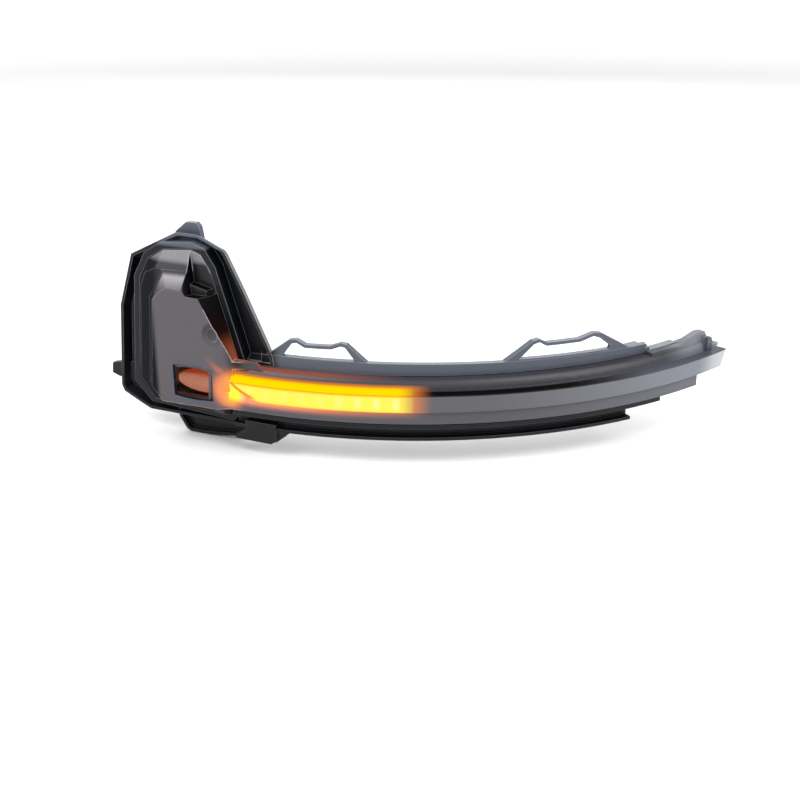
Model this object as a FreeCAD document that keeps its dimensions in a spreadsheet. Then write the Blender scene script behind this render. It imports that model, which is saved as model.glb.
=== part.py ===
"""Door mirror turn signal lamp: a boot-shaped head that faces forwards and a long strip
that sweeps round the mirror shell.

The frame is right handed with +Z up. The lamp faces -Y and the strip leaves the head
towards +X, then bends back about a vertical ring axis. The origin is the mouth of the
main screw boss, behind the place where the strip leaves the head. Depths are measured
rearwards from the lit front face at that place, and every length is in millimetres.
"""

import FreeCAD, Part
import math
import os

import Sketcher
from FreeCAD import Placement, Rotation, Vector

doc = FreeCAD.newDocument("MirrorTurnSignalLamp")
sheet = doc.addObject("Spreadsheet::Sheet", "Sizes")


class Size:
    """A length or an angle that carries its value and the expression that gives it."""

    def __init__(self, value, text):
        self.value = float(value)
        self.text = text

    def __add__(self, other):
        other = as_size(other)
        return Size(self.value + other.value, f"({self.text} + {other.text})")

    def __sub__(self, other):
        other = as_size(other)
        return Size(self.value - other.value, f"({self.text} - {other.text})")

    def __rsub__(self, other):
        return as_size(other) - self

    def __mul__(self, other):
        other = as_size(other)
        return Size(self.value * other.value, f"({self.text} * {other.text})")

    def __truediv__(self, other):
        other = as_size(other)
        return Size(self.value / other.value, f"({self.text} / {other.text})")

    def __neg__(self):
        return Size(-self.value, f"(0 - {self.text})")


def as_size(number):
    """Gives a plain number the same form as a size from the sheet."""
    return number if isinstance(number, Size) else Size(number, f"{float(number):.6g}")


def sin_of(angle):
    angle = as_size(angle)
    return Size(math.sin(math.radians(angle.value)), f"sin({angle.text})")


def cos_of(angle):
    angle = as_size(angle)
    return Size(math.cos(math.radians(angle.value)), f"cos({angle.text})")


sheet_rows = 0


def size(alias, value):
    """Writes one driving dimension into the sheet and returns it."""
    global sheet_rows
    sheet_rows += 1
    sheet.set(f"A{sheet_rows}", alias)
    sheet.set(f"B{sheet_rows}", str(value))
    sheet.setAlias(f"B{sheet_rows}", alias)
    return Size(value, f"Sizes.{alias}")


def corner(alias, across, up):
    """Writes the two coordinates of one named outline corner into the sheet."""
    return size(f"{alias}_x", across), size(f"{alias}_z", up)


# Ring of the strip and where its parts end, in degrees round the ring from the head
ring_radius = size("ring_radius", 185.0)
low_face_end = size("low_face_end", 63.7)
ridge_end = size("ridge_end", 67.6)
box_end = size("box_end", 69.4)
channel_end = size("channel_end", 57.3)
flange_angle = size("flange_angle", 30.15)
skirt_end = size("skirt_end", 52.6)
tail_end = size("tail_end", 66.4)

# Depths behind the lit front face
face_step = size("face_step", 1.2)
band_depth = size("band_depth", 5.0)
base_depth = size("base_depth", 9.0)
lens_back = size("lens_back", 12.0)
rim_depth = size("rim_depth", 11.0)
seal_thickness = size("seal_thickness", 0.8)
channel_depth = size("channel_depth", 18.0)
tub_depth = size("tub_depth", 26.0)
boss_height = size("boss_height", 7.2)

# Walls and clearances
lens_wall = size("lens_wall", 1.5)
bezel_wall = size("bezel_wall", 1.2)
housing_wall = size("housing_wall", 1.8)
bezel_gap = size("bezel_gap", 0.3)
lens_gap = size("lens_gap", 0.3)
fit_gap = size("fit_gap", 0.2)
cut_over = size("cut_over", 1.0)

land_depth = lens_back + seal_thickness
channel_back = channel_depth + housing_wall
tub_back = tub_depth + housing_wall
front_y = -(channel_back + boss_height)
bezel_inset = lens_wall + bezel_gap
chamber_inset = bezel_inset + bezel_wall

# Strip section, heights from the top front edge of the light box
box_height = size("box_height", 7.0)
box_top_depth = size("box_top_depth", 4.8)
ridge_height = size("ridge_height", 3.9)
ridge_run = size("ridge_run", 2.0)
ridge_radius = size("ridge_radius", 4.5)
ridge_foot = size("ridge_foot", 0.7)
low_face_bottom = size("low_face_bottom", 12.3)
tip_run = size("tip_run", 17.5)
tip_radius = size("tip_radius", 25.4)
tip_over = size("tip_over", 0.15)
tip_floor = size("tip_floor", 1.7)
end_lean = size("end_lean", 3.2)
box_depth = size("box_depth", 7.5)

# Slanted facet between the plateau and the strip
facet_start = size("facet_start", -6.0)
facet_end = size("facet_end", 7.0)
facet_depth = size("facet_depth", 6.2)
facet_top = size("facet_top", 20.0)

# Head of the lens, corner by corner, at its four depths
FRONT = [
    corner("front_heel", -37.6, -8.2),
    corner("front_sole", -32.9, -14.2),
    corner("front_notch", -6.6, -13.6),
    corner("front_instep", 0.0, 9.3),
    corner("front_knee", -12.8, 32.1),
    corner("front_step", -18.3, 32.2),
    corner("neck_right", -20.5, 34.4),
    corner("neck_left", -27.4, 35.0),
    corner("front_shoulder", -31.5, 32.2),
    corner("front_nape", -34.1, 29.0),
]
ROOT = [
    corner("root_heel", -41.0, -8.4),
    corner("root_sole", -36.0, -15.4),
    corner("root_notch", -5.1, -17.3),
    corner("root_instep", 0.0, 6.8),
    corner("root_knee", -10.8, 32.1),
    corner("root_step", -17.6, 32.2),
    corner("ramp_right", -19.4, 41.4),
    corner("ramp_left", -31.0, 41.0),
    corner("root_shoulder", -35.0, 33.4),
    corner("root_nape", -38.0, 28.6),
]
BAND = [
    corner("band_heel", -45.2, -7.0),
    corner("band_sole", -38.8, -15.3),
    ROOT[2],
    ROOT[3],
    ROOT[4],
    ROOT[5],
    ROOT[6],
    corner("band_crown", -34.4, 41.0),
    corner("band_shoulder", -39.4, 38.8),
    corner("band_nape", -42.0, 32.6),
]
BASE = [
    corner("base_heel", -48.6, -9.4),
    corner("base_sole", -42.6, -15.8),
    corner("base_notch", -5.2, -17.8),
    corner("base_shin", -11.6, 41.9),
    corner("base_toe", -15.3, 47.5),
    corner("base_crown", -19.8, 49.0),
    corner("crown_left", -32.6, 47.8),
    corner("base_shoulder", -39.6, 43.6),
    corner("base_nape", -44.6, 34.8),
]
cavity_knee_z = size("cavity_knee_z", 32.6)
cavity_step = corner("cavity_step", -18.6, 33.0)

# Head of the housing
RIM = [
    corner("rim_heel", -60.4, -14.6),
    corner("rim_heel_low", -59.2, -17.4),
    corner("rim_arch", -50.4, -21.6),
    corner("rim_sole", -46.2, -23.4),
    corner("rim_toe", 2.0, -23.4),
    corner("rim_step", 2.0, 4.6),
    corner("rim_foot", 14.8, 4.6),
    corner("rim_ankle", 14.2, 8.8),
    corner("rim_shin", 3.0, 32.7),
    corner("rim_knee", -5.0, 48.4),
    corner("rim_brow", -6.9, 50.6),
    corner("rim_crown_right", -17.2, 54.9),
    corner("rim_crown", -27.4, 55.0),
    corner("rim_shoulder", -49.8, 43.9),
    corner("rim_nape", -57.3, 21.3),
]
collar_front = size("collar_front", 9.0)
collar_wall = size("collar_wall", 2.8)
rim_lip = size("rim_lip", 1.2)
rim_body = size("rim_body", 5.5)
rim_draft = size("rim_draft", 2.6)
lip_height = size("lip_height", 3.8)
tub_draft = size("tub_draft", 5.0)
lens_under_gap = size("lens_under_gap", 0.9)

# Strip section of the housing
flange_depth = size("flange_depth", 10.8)
flange_thickness = size("flange_thickness", 2.6)
flange_top = size("flange_top", 9.4)
flange_left = (size("flange_left_x", -79.4), flange_top)
flange_middle = corner("flange_middle", 15.3, 8.8)
flange_right = corner("flange_right", 77.2, 8.1)
flange_barb = corner("flange_barb", 78.2, 7.2)
flange_notch = corner("flange_notch", 77.0, 6.2)
flange_tip = corner("flange_tip", 79.2, 4.4)
flange_room = size("flange_room", 24.0)
skirt_front = size("skirt_front", 3.4)
skirt_recess = size("skirt_recess", 3.1)
skirt_bottom = size("skirt_bottom", 20.2)
skirt_wall = size("skirt_wall", 1.3)
channel_bottom = size("channel_bottom", 15.8)
channel_top = size("channel_top", 6.2)
channel_into_tub = size("channel_into_tub", 14.0)
chamber_low = size("chamber_low", 9.3)
chamber_high = size("chamber_high", 0.9)
bend_room = size("bend_room", 5.0)
plate_room = size("plate_room", 12.0)

# Details moulded on the lens
fin_angle = size("fin_angle", 62.0)
fin_start = corner("fin_start", -17.3, 5.2)
fin_foot = corner("fin_foot", 0.2, 5.1)
fin_rise = corner("fin_rise", 5.0, 7.1)
fin_peak = corner("fin_peak", 11.2, 8.4)
fin_brow = corner("fin_brow", 15.4, 8.0)
fin_stop = corner("fin_stop", 17.4, 5.2)
fin_front = size("fin_front", 6.4)
fin_thickness = size("fin_thickness", 3.4)
end_wall_half = size("end_wall_half", 1.8)
end_wall_top = size("end_wall_top", 6.0)
end_wall_front = size("end_wall_front", 3.6)
tab_reach = size("tab_reach", 10.0)
tail_run = size("tail_run", 12.0)
tail_top = size("tail_top", 7.0)
STEP = [
    corner("step_low_left", -20.2, 31.4), corner("step_low_right", -12.4, 31.0),
    corner("step_high_right", -10.6, 34.4), corner("step_high_left", -18.6, 36.3)]
dimple_radius = size("dimple_radius", 5.0)
dimple_sink = size("dimple_sink", 0.9)
dimple_place = corner("dimple", -6.8, 17.8)

# Clip loops, bracket, tray, bosses and connector of the housing
first_loop_angle = size("first_loop_angle", 10.9)
second_loop_angle = size("second_loop_angle", 44.6)
FIRST_LOOP = [
    corner("loop1_foot_right", 19.5, 9.2), corner("loop1_ear_right", 11.7, 16.4),
    corner("loop1_peak_right", 9.3, 16.8), corner("loop1_bar_right", 5.2, 15.3),
    corner("loop1_bar_left", -5.1, 15.1), corner("loop1_peak_left", -8.7, 17.0),
    corner("loop1_ear_left", -11.8, 16.5), corner("loop1_foot_left", -21.6, 9.2)]
FIRST_WINDOW = [
    corner("window1_low_left", -14.8, 9.5), corner("window1_low_right", 14.4, 9.5),
    corner("window1_side_right", 14.2, 10.6), corner("window1_ear_right", 11.0, 15.0),
    corner("window1_peak_right", 9.3, 15.4), corner("window1_bar_right", 5.4, 13.9),
    corner("window1_bar_left", -5.3, 13.7), corner("window1_peak_left", -8.6, 15.5),
    corner("window1_ear_left", -10.8, 15.0)]
SECOND_LOOP = [
    corner("loop2_foot_right", 27.6, 8.0), corner("loop2_ear_right", 13.3, 16.4),
    corner("loop2_peak_right", 9.7, 17.1), corner("loop2_bar_right", 3.0, 15.4),
    corner("loop2_bar_left", -11.2, 15.4), corner("loop2_peak_left", -14.6, 17.2),
    corner("loop2_ear_left", -17.2, 16.6), corner("loop2_foot_left", -28.7, 8.6)]
SECOND_WINDOW = [
    corner("window2_low_left", -22.6, 9.5), corner("window2_low_right", 17.6, 9.1),
    corner("window2_side_right", 18.0, 10.2), corner("window2_ear_right", 12.6, 14.4),
    corner("window2_peak_right", 9.4, 15.6), corner("window2_bar_right", 3.3, 14.0),
    corner("window2_bar_left", -11.4, 14.0), corner("window2_peak_left", -14.5, 15.8),
    corner("window2_ear_left", -16.7, 15.1)]
tray_front = size("tray_front", 12.0)
bracket_front = size("bracket_front", 3.6)
bracket_depth = size("bracket_depth", 9.0)
hook_depth = size("hook_depth", 4.6)
fixing_thickness = size("fixing_thickness", 2.4)
TONGUE = [
    corner("tongue_left", -31.0, 49.8), corner("tongue_right", -17.0, 49.8),
    corner("tongue_shoulder", -18.3, 57.4), corner("tongue_tip_right", -19.7, 58.8),
    corner("tongue_tip_left", -24.4, 58.7), corner("tongue_ramp", -29.5, 54.6)]
LEFT_TAB = [
    corner("tab_root_low", -54.8, -13.6), corner("tab_low", -63.7, -12.4),
    corner("tab_tip_low", -67.1, -11.2), corner("tab_tip_high", -66.6, -6.6),
    corner("tab_high", -63.1, -5.8), corner("tab_root_high", -54.8, -4.4)]
TRAY = [
    corner("tray_root_left", -33.2, -19.6), corner("tray_left", -32.6, -24.9),
    corner("tray_low_left", -29.2, -30.1), corner("tray_sole", -27.2, -30.9),
    corner("tray_middle", -18.6, -30.7), corner("tray_toe", -5.4, -29.4),
    corner("tray_right", 3.2, -24.6), corner("tray_root_right", 4.4, -19.6)]
BRACKET = [
    corner("bracket_root_left", 4.8, -17.2), corner("bracket_root_right", 18.6, -17.2),
    corner("bracket_high", 19.1, -20.4), corner("bracket_side", 18.7, -24.4),
    corner("bracket_low_right", 16.1, -25.8), corner("bracket_low_left", -0.8, -25.8),
    corner("bracket_left", 4.8, -20.8)]
HOOK = [
    corner("hook_root", 17.6, -20.0), corner("hook_tip", 23.2, -20.6),
    corner("hook_under", 22.6, -21.6), corner("hook_low", 18.3, -25.0)]
boss_radius = size("boss_radius", 4.5)
pilot_radius = size("pilot_radius", 1.6)
pilot_length = size("pilot_length", 7.8)
strip_boss_angle = size("strip_boss_angle", 49.0)
strip_boss_height = size("strip_boss_height", -4.2)
strip_boss_length = size("strip_boss_length", 6.0)
peg_angle = size("peg_angle", 27.0)
peg_radius = size("peg_radius", 2.0)
peg_length = size("peg_length", 6.0)
rib_pitch = size("rib_pitch", 9.0)
rib_width = size("rib_width", 1.4)
rib_reach = size("rib_reach", 2.5)
rib_height = size("rib_height", 0.8)
socket_x, socket_z = corner("socket", -28.0, 8.0)
socket_wide = size("socket_wide", 16.5)
socket_high = size("socket_high", 8.5)
shroud_wide = size("shroud_wide", 20.0)
shroud_high = size("shroud_high", 12.0)
shroud_back = size("shroud_back", 39.0)
pin_pitch = size("pin_pitch", 3.0)
pin_half = size("pin_half", 0.5)
vent_place = corner("vent", -28.0, 33.0)

# Window in the bezel
window_low_left = corner("window_low_left", -27.3, -9.8)
window_low_right = corner("window_low_right", -11.5, -10.1)
window_high_right = corner("window_high_right", -10.6, 1.3)
window_high_left = corner("window_high_left", -26.3, 1.1)
window_radius = size("window_radius", 42.0)
window_wall = size("window_wall", 1.25)
window_back = size("window_back", 5.2)

# Light guides, boards and screws
guide_front = size("guide_front", 1.9)
guide_back = size("guide_back", 6.6)
guide_bottom = size("guide_bottom", -5.2)
guide_top = size("guide_top", -1.8)
guide_end = size("guide_end", 66.0)
led_board_front = size("led_board_front", 9.5)
led_height = size("led_height", -3.5)
led_pitch = size("led_pitch", 4.6)
led_start = size("led_start", 4.0)
carrier_low = size("carrier_low", -8.2)
carrier_high = size("carrier_high", 0.2)
bullet_radius = size("bullet_radius", 4.9)
bullet_nose = size("bullet_nose", 14.5)
bullet_length = size("bullet_length", 4.5)
bullet_start = size("bullet_start", -16.0)
bullet_height = size("bullet_height", -5.9)
stem_shift = size("stem_shift", -2.0)
post_height = size("post_height", 4.4)
board_thickness = size("board_thickness", 1.6)
board_back = tub_depth - post_height
board_front = board_back - board_thickness
post_radius = size("post_radius", 2.8)
POSTS = [corner("first_post", -36.6, -5.0), corner("second_post", -20.4, 22.0)]
BOARD = [
    corner("board_heel", -42.0, -6.5), corner("board_sole", -38.5, -10.4),
    corner("board_toe", -12.4, -11.0), corner("board_shin", -16.9, 30.0),
    corner("board_brow", -21.0, 35.0), corner("board_crown", -30.4, 35.0),
    corner("board_nape", -37.8, 27.0)]
screw_radius = size("screw_radius", 1.3)
screw_length = size("screw_length", 5.6)
screw_head_radius = size("screw_head_radius", 2.3)
screw_head_height = size("screw_head_height", 1.7)
ribbon_thickness = size("ribbon_thickness", 0.35)


# Sketches, solids and booleans

def bind(feature, path, value):
    """Ties one property of a feature to the sheet."""
    feature.setExpression(path, as_size(value).text)


def sketch(name, corners, arcs=None):
    """Draws a closed outline whose corners are tied to the sheet.

    arcs gives the radius and side of each edge that is a round, by the number of its first
    corner. The side is 1 where the round swells out of the outline and -1 where it dips in.
    """
    arcs = arcs or {}
    drawing = doc.addObject("Sketcher::SketchObject", name)
    points = [Vector(as_size(a).value, as_size(b).value, 0) for a, b in corners]
    count = len(points)
    first_end = []
    for index in range(count):
        start, end = points[index], points[(index + 1) % count]
        if index in arcs:
            radius, side = arcs[index]
            chord = end - start
            rise = radius.value - math.sqrt(radius.value ** 2 - chord.Length ** 2 / 4)
            middle = (start + end) * 0.5 + Vector(chord.y, -chord.x, 0).normalize() * rise * side
            ends = (start, middle, end) if side > 0 else (end, middle, start)
            drawing.addGeometry(Part.Arc(*ends), False)
            first_end.append(1 if side > 0 else 2)
        else:
            drawing.addGeometry(Part.LineSegment(start, end), False)
            first_end.append(1)
    for index in range(count):
        following = (index + 1) % count
        last = 3 - first_end[index]
        drawing.addConstraint(
            Sketcher.Constraint("Coincident", index, last, following, first_end[following]))
    for index, (across, up) in enumerate(corners):
        for kind, value in (("DistanceX", as_size(across)), ("DistanceY", as_size(up))):
            number = drawing.addConstraint(
                Sketcher.Constraint(kind, index, first_end[index], value.value))
            bind(drawing, f"Constraints[{number}]", value)
    for index, (radius, side) in arcs.items():
        number = drawing.addConstraint(Sketcher.Constraint("Radius", index, radius.value))
        bind(drawing, f"Constraints[{number}]", radius)
    return drawing


def face_sketch(name, corners, depth, arcs=None):
    """Draws an outline, as seen from the front, on the plane at a depth."""
    drawing = sketch(name, corners, arcs)
    drawing.Placement = Placement(Vector(0, 0, 0), Rotation(Vector(1, 0, 0), 90))
    bind(drawing, "Placement.Base.y", front_y + depth)
    return drawing


def section_sketch(name, corners, arcs=None):
    """Draws a strip section, as depth and height, on the plane where the strip begins."""
    drawing = sketch(name, corners, arcs)
    drawing.Placement = Placement(Vector(0, 0, 0), Rotation(Vector(1, 1, 1), 120))
    bind(drawing, "Placement.Base.y", front_y)
    return drawing


def plan_sketch(name, corners, height):
    """Draws an outline, as seen from above, as across and depth, at a height."""
    drawing = sketch(name, corners)
    bind(drawing, "Placement.Base.y", front_y)
    bind(drawing, "Placement.Base.z", height)
    return drawing


def offset(source, distance, join="Intersection"):
    """Moves an outline outwards by a distance, or inwards where it is negative."""
    moved = doc.addObject("Part::Offset2D", source.Name + "Moved")
    moved.Source = source
    moved.Join = join
    bind(moved, "Value", distance)
    return moved


def extrude(profile, direction, length, backwards=0.0):
    """Drags an outline along a direction."""
    solid = doc.addObject("Part::Extrusion", profile.Name + "Solid")
    solid.Base = profile
    solid.DirMode = "Custom"
    solid.Dir = direction
    solid.Solid = True
    bind(solid, "LengthFwd", length)
    bind(solid, "LengthRev", backwards)
    return solid


def slab(name, corners, front, back, grow=0.0, arcs=None, join="Intersection"):
    """Makes a plate with an outline seen from the front, between two depths."""
    profile = face_sketch(name, corners, front, arcs)
    if not (isinstance(grow, float) and grow == 0.0):
        profile = offset(profile, grow, join)
    return extrude(profile, Vector(0, 1, 0), as_size(back) - front)


def loft(name, sections):
    """Joins outlines at different depths by straight sides."""
    solid = doc.addObject("Part::Loft", name)
    solid.Sections = sections
    solid.Solid = True
    solid.Ruled = True
    return solid


def turn(feature, angle):
    """Turns a feature round the ring axis."""
    bind(feature, "Placement.Base.x", (ring_radius + front_y) * sin_of(angle))
    bind(feature, "Placement.Base.y", (ring_radius + front_y) * (as_size(1) - cos_of(angle)))
    bind(feature, "Placement.Rotation.Angle", angle)
    return feature


def sweep_round(profile, end, start=None):
    """Turns a strip section round the ring axis between two angles."""
    solid = doc.addObject("Part::Revolution", profile.Name + "Swept")
    solid.Source = profile
    solid.Axis = Vector(0, 0, 1)
    solid.Solid = True
    bind(solid, "Base.y", front_y + ring_radius)
    bind(solid, "Angle", end if start is None else end - start)
    return solid if start is None else turn(solid, start)


def fuse(name, pieces):
    whole = doc.addObject("Part::MultiFuse", name)
    whole.Shapes = pieces
    return whole


def cut(name, base, tool, refine=True):
    rest = doc.addObject("Part::Cut", name)
    rest.Base = base
    rest.Tool = tool
    rest.Refine = refine
    return rest


def hollow_out(name, base, tools):
    """Takes several tools out of a solid, one after the other."""
    for number, tool in enumerate(tools):
        base = cut(f"{name}{number}", base, tool, refine=False)
    return base


def common(name, pieces):
    shared = doc.addObject("Part::MultiCommon", name)
    shared.Shapes = pieces
    return shared


def group(name, pieces):
    """Keeps separate solids together as one piece of the list."""
    together = doc.addObject("Part::Compound", name)
    together.Links = pieces
    return together


def rod(name, across, up, radius, front, back):
    """Makes a round rod along depth."""
    solid = doc.addObject("Part::Cylinder", name)
    solid.Placement = Placement(Vector(0, 0, 0), Rotation(Vector(1, 0, 0), -90))
    bind(solid, "Radius", radius)
    bind(solid, "Height", as_size(back) - front)
    bind(solid, "Placement.Base.x", across)
    bind(solid, "Placement.Base.y", front_y + front)
    bind(solid, "Placement.Base.z", up)
    return solid


def block(name, left, right, front, back, bottom, top):
    """Makes a square block between six faces."""
    solid = doc.addObject("Part::Box", name)
    bind(solid, "Length", as_size(right) - left)
    bind(solid, "Width", as_size(back) - front)
    bind(solid, "Height", as_size(top) - bottom)
    bind(solid, "Placement.Base.x", left)
    bind(solid, "Placement.Base.y", front_y + front)
    bind(solid, "Placement.Base.z", bottom)
    return solid


def ring_block(name, angle, width, front, back, bottom, top):
    """Makes a block on the strip, square to the ring at an angle."""
    solid = doc.addObject("Part::Box", name)
    front_radius = ring_radius - front
    bind(solid, "Length", width)
    bind(solid, "Width", as_size(back) - front)
    bind(solid, "Height", as_size(top) - bottom)
    half = as_size(width) / 2
    bind(solid, "Placement.Base.x", front_radius * sin_of(angle) - half * cos_of(angle))
    bind(solid, "Placement.Base.y",
         front_y + ring_radius - front_radius * cos_of(angle) - half * sin_of(angle))
    bind(solid, "Placement.Base.z", bottom)
    bind(solid, "Placement.Rotation.Angle", angle)
    return solid


# Shared forms of the lens, the bezel inside it and the hollows of the housing

join_low = (as_size(0.0), -low_face_bottom)
join_high = (as_size(0.0), ridge_height)


def on_base_side(height):
    """Gives the corner on the sloping right side of the lens base at a height."""
    shin = BASE[3]
    share = (as_size(height) - ridge_height) / (shin[1] - ridge_height)
    return shin[0] * share, as_size(height)


def with_low_corner(corners):
    """Adds the corner where the head's underside steps up to the strip's."""
    return corners[:3] + [join_low] + corners[3:]


def base_outline():
    return BASE[:3] + [join_low, join_high] + BASE[3:]


def body_outline():
    """The lens base without the cavity beside the ramp."""
    return BASE[:3] + [
        join_low, join_high, on_base_side(cavity_knee_z), cavity_step,
        BASE[5], BASE[6], BASE[7], BASE[8]]


def head_form(name, inset, back):
    """The head of the lens as one solid, drawn in from its skin by an inset."""
    def level(label, corners, depth):
        drawing = face_sketch(f"{name}{label}", corners, depth + inset)
        return drawing if inset.value == 0.0 else offset(drawing, -inset)

    plateau = loft(f"{name}Plateau", [
        level("Front", with_low_corner(FRONT), face_step),
        level("Root", with_low_corner(ROOT), band_depth)])
    body = loft(f"{name}Body", [
        level("Band", with_low_corner(BAND), band_depth),
        level("Foot", body_outline(), base_depth)])
    base = level("Base", base_outline(), base_depth)
    skirt = extrude(base, Vector(0, 1, 0), as_size(back) - base_depth - inset)
    return [plateau, body, skirt]


def rail_section(name, inset, back):
    """Strip section without the light box: lower face, top wall and ridge."""
    foot_depth = box_top_depth + ridge_run / 6
    corners = [
        (face_step, -low_face_bottom),
        (back + inset, -low_face_bottom),
        (back + inset, ridge_height),
        (box_top_depth + ridge_run, ridge_height),
        (foot_depth, ridge_foot),
        (box_top_depth, as_size(0.0)),
        (face_step, as_size(0.0)),
    ]
    if inset.value > 0.0:
        return offset(section_sketch(name, corners), -inset)
    return section_sketch(name, corners, {3: (ridge_radius, 1)})


def facet_cutter(name, inset):
    """The wedge in front of the slanted facet beside the blade tip."""
    drawing = plan_sketch(name, [
        (facet_start, face_step), (facet_end, facet_depth), (facet_end + 8.0, facet_depth),
        (facet_end + 8.0, -face_step * 3.0), (facet_start, -face_step * 3.0)], 0.0)
    profile = drawing if inset.value == 0.0 else offset(drawing, inset)
    return extrude(profile, Vector(0, 0, 1), facet_top, low_face_bottom - box_height)


def tip_cutter(name, inset):
    """What lies below the curved blade tip in front of the lower face."""
    reach = as_size(12.0)
    corners = [
        (-reach, tip_over), (-reach, -box_height - reach), (tip_run, -box_height - reach),
        (tip_run, -box_height - tip_over), (-tip_over, tip_over)]
    drawing = face_sketch(name, corners, -cut_over, {3: (tip_radius, -1)})
    profile = drawing if inset.value == 0.0 else offset(drawing, inset, "Arc")
    return extrude(profile, Vector(0, 1, 0), cut_over + face_step + inset + tip_floor)


def end_cutter(name, inset):
    """What lies beyond the slanted end of the light box."""
    lean = end_lean / box_height
    drawing = face_sketch(name, [
        (-end_lean - lean, -box_height - cut_over), (end_lean, -box_height - cut_over),
        (end_lean, cut_over), (lean, cut_over)], -cut_over)
    profile = drawing if inset.value == 0.0 else offset(drawing, inset)
    return turn(extrude(profile, Vector(0, 1, 0), box_depth + cut_over * 2), box_end)


def lens_form(name, inset, back, overlap=None):
    """The whole lens as one solid, drawn in from its skin by an inset.

    Its back is left at the full depth, so that a hollow made with it is open there. A
    form that is drawn in runs from the strip into the head by the overlap.
    """
    hollow = inset.value > 0.0
    head = cut(f"{name}Head", fuse(f"{name}HeadWhole", head_form(name, inset, back)),
               facet_cutter(f"{name}Facet", inset))
    wall_angle = inset * (180.0 / math.pi) / ring_radius
    rail = rail_section(f"{name}Rail", inset, as_size(back))
    pieces = [head, sweep_round(rail, low_face_end - wall_angle)]
    if hollow:
        pieces.append(extrude(rail, Vector(-1, 0, 0), overlap))
    upper_back = as_size(back) + inset
    upper = section_sketch(f"{name}Upper", [
        (face_step, -box_height), (upper_back, -box_height), (upper_back, ridge_height),
        (box_top_depth + ridge_run, ridge_height),
        (box_top_depth + ridge_run / 6, ridge_foot),
        (box_top_depth, as_size(0.0)), (face_step, as_size(0.0))],
        None if hollow else {3: (ridge_radius, 1)})
    if hollow:
        upper = offset(upper, -inset)
    pieces.append(sweep_round(upper, ridge_end - wall_angle))
    box = section_sketch(f"{name}Box", [
        (0.0, -box_height), (box_depth, -box_height), (box_depth, 0.0), (0.0, 0.0)])
    if hollow:
        box = offset(box, -inset)
    box = cut(f"{name}BoxTipped", sweep_round(box, box_end - wall_angle),
              tip_cutter(f"{name}Tip", inset))
    box = cut(f"{name}BoxEnded", box, end_cutter(f"{name}End", inset))
    return fuse(f"{name}Form", pieces + [box])


def strip_bar(name, front, back, bottom, top, end, start=None):
    """Makes a bar of square section that runs along the strip between two angles."""
    drawing = section_sketch(name, [(front, bottom), (back, bottom), (back, top), (front, top)])
    return sweep_round(drawing, end, start)


def strip_stub(name, front, back, bottom, top, length):
    """Runs a strip section straight on into the head."""
    drawing = section_sketch(name, [(front, bottom), (back, bottom), (back, top), (front, top)])
    return extrude(drawing, Vector(-1, 0, 0), length)


def curved_plate(name, corners, angle, front, back, half_angle, room=None, hole=None):
    """Makes a plate that follows the ring, drawn flat and then turned to its angle."""
    room = room or bend_room
    plate = slab(name, corners, front - room, back + room)
    if hole is not None:
        plate = cut(f"{name}Open", plate,
                    slab(f"{name}Hole", hole, front - room * 2, back + room * 2))
    low = min((as_size(z) for x, z in corners), key=lambda height: height.value)
    band = strip_bar(f"{name}Band", front, back, low - cut_over, low + plate_room,
                     half_angle, -half_angle)
    return turn(common(f"{name}Curved", [plate, band]), angle)


# Outer lens: one smoked cap over the head and the strip, with its moulded details

lens_skin = lens_form("Skin", as_size(0.0), lens_back)
lens_hollow = lens_form("Hollow", lens_wall, lens_back + cut_over, lens_wall + cut_over)
strip_fin = curved_plate(
    "Fin", [(fin_start[0], ridge_height - fit_gap), (fin_stop[0], ridge_height - fit_gap)] + [
        fin_stop, fin_brow, fin_peak, fin_rise, fin_foot, fin_start],
    fin_angle, fin_front, fin_front + fin_thickness, as_size(7.0))
end_wall = curved_plate("EndWall", [
    (-end_wall_half, 0.0), (end_wall_half, 0.0), (end_wall_half, end_wall_top - 1.4),
    (end_wall_half * 0.4, end_wall_top), (-end_wall_half, end_wall_top)],
    ridge_end - end_wall_half / 3.0, end_wall_front, box_depth, as_size(2.0))
back_tab = curved_plate("BackTab", [
    (0.0, -1.2), (tab_reach, -1.2), (tab_reach, 0.2), (tab_reach * 0.45, 2.0), (0.0, 2.6)],
    ridge_end, box_depth - cut_over, box_depth + 1.2, as_size(5.0))
tail_block = cut("TailBlock", slab("Tail", [
    (-cut_over, ridge_height), (tail_run, ridge_height), (tail_run - 2.5, tail_top),
    (-cut_over, tail_top)], face_step, box_depth), facet_cutter("TailFacet", as_size(0.0)))
step_block = slab("Step", STEP, band_depth + 0.3, base_depth)
dimple = doc.addObject("Part::Sphere", "Dimple")
bind(dimple, "Radius", dimple_radius)
bind(dimple, "Placement.Base.x", dimple_place[0])
bind(dimple, "Placement.Base.y", front_y + face_step + dimple_sink - dimple_radius)
bind(dimple, "Placement.Base.z", dimple_place[1])
outer_lens = cut("OuterLens", cut("LensShell", fuse("LensWhole", [
    lens_skin, strip_fin, end_wall, back_tab, tail_block, step_block]), lens_hollow), dimple)

# Inner bezel: the satin reflector a wall inside the lens, open along the light box

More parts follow.
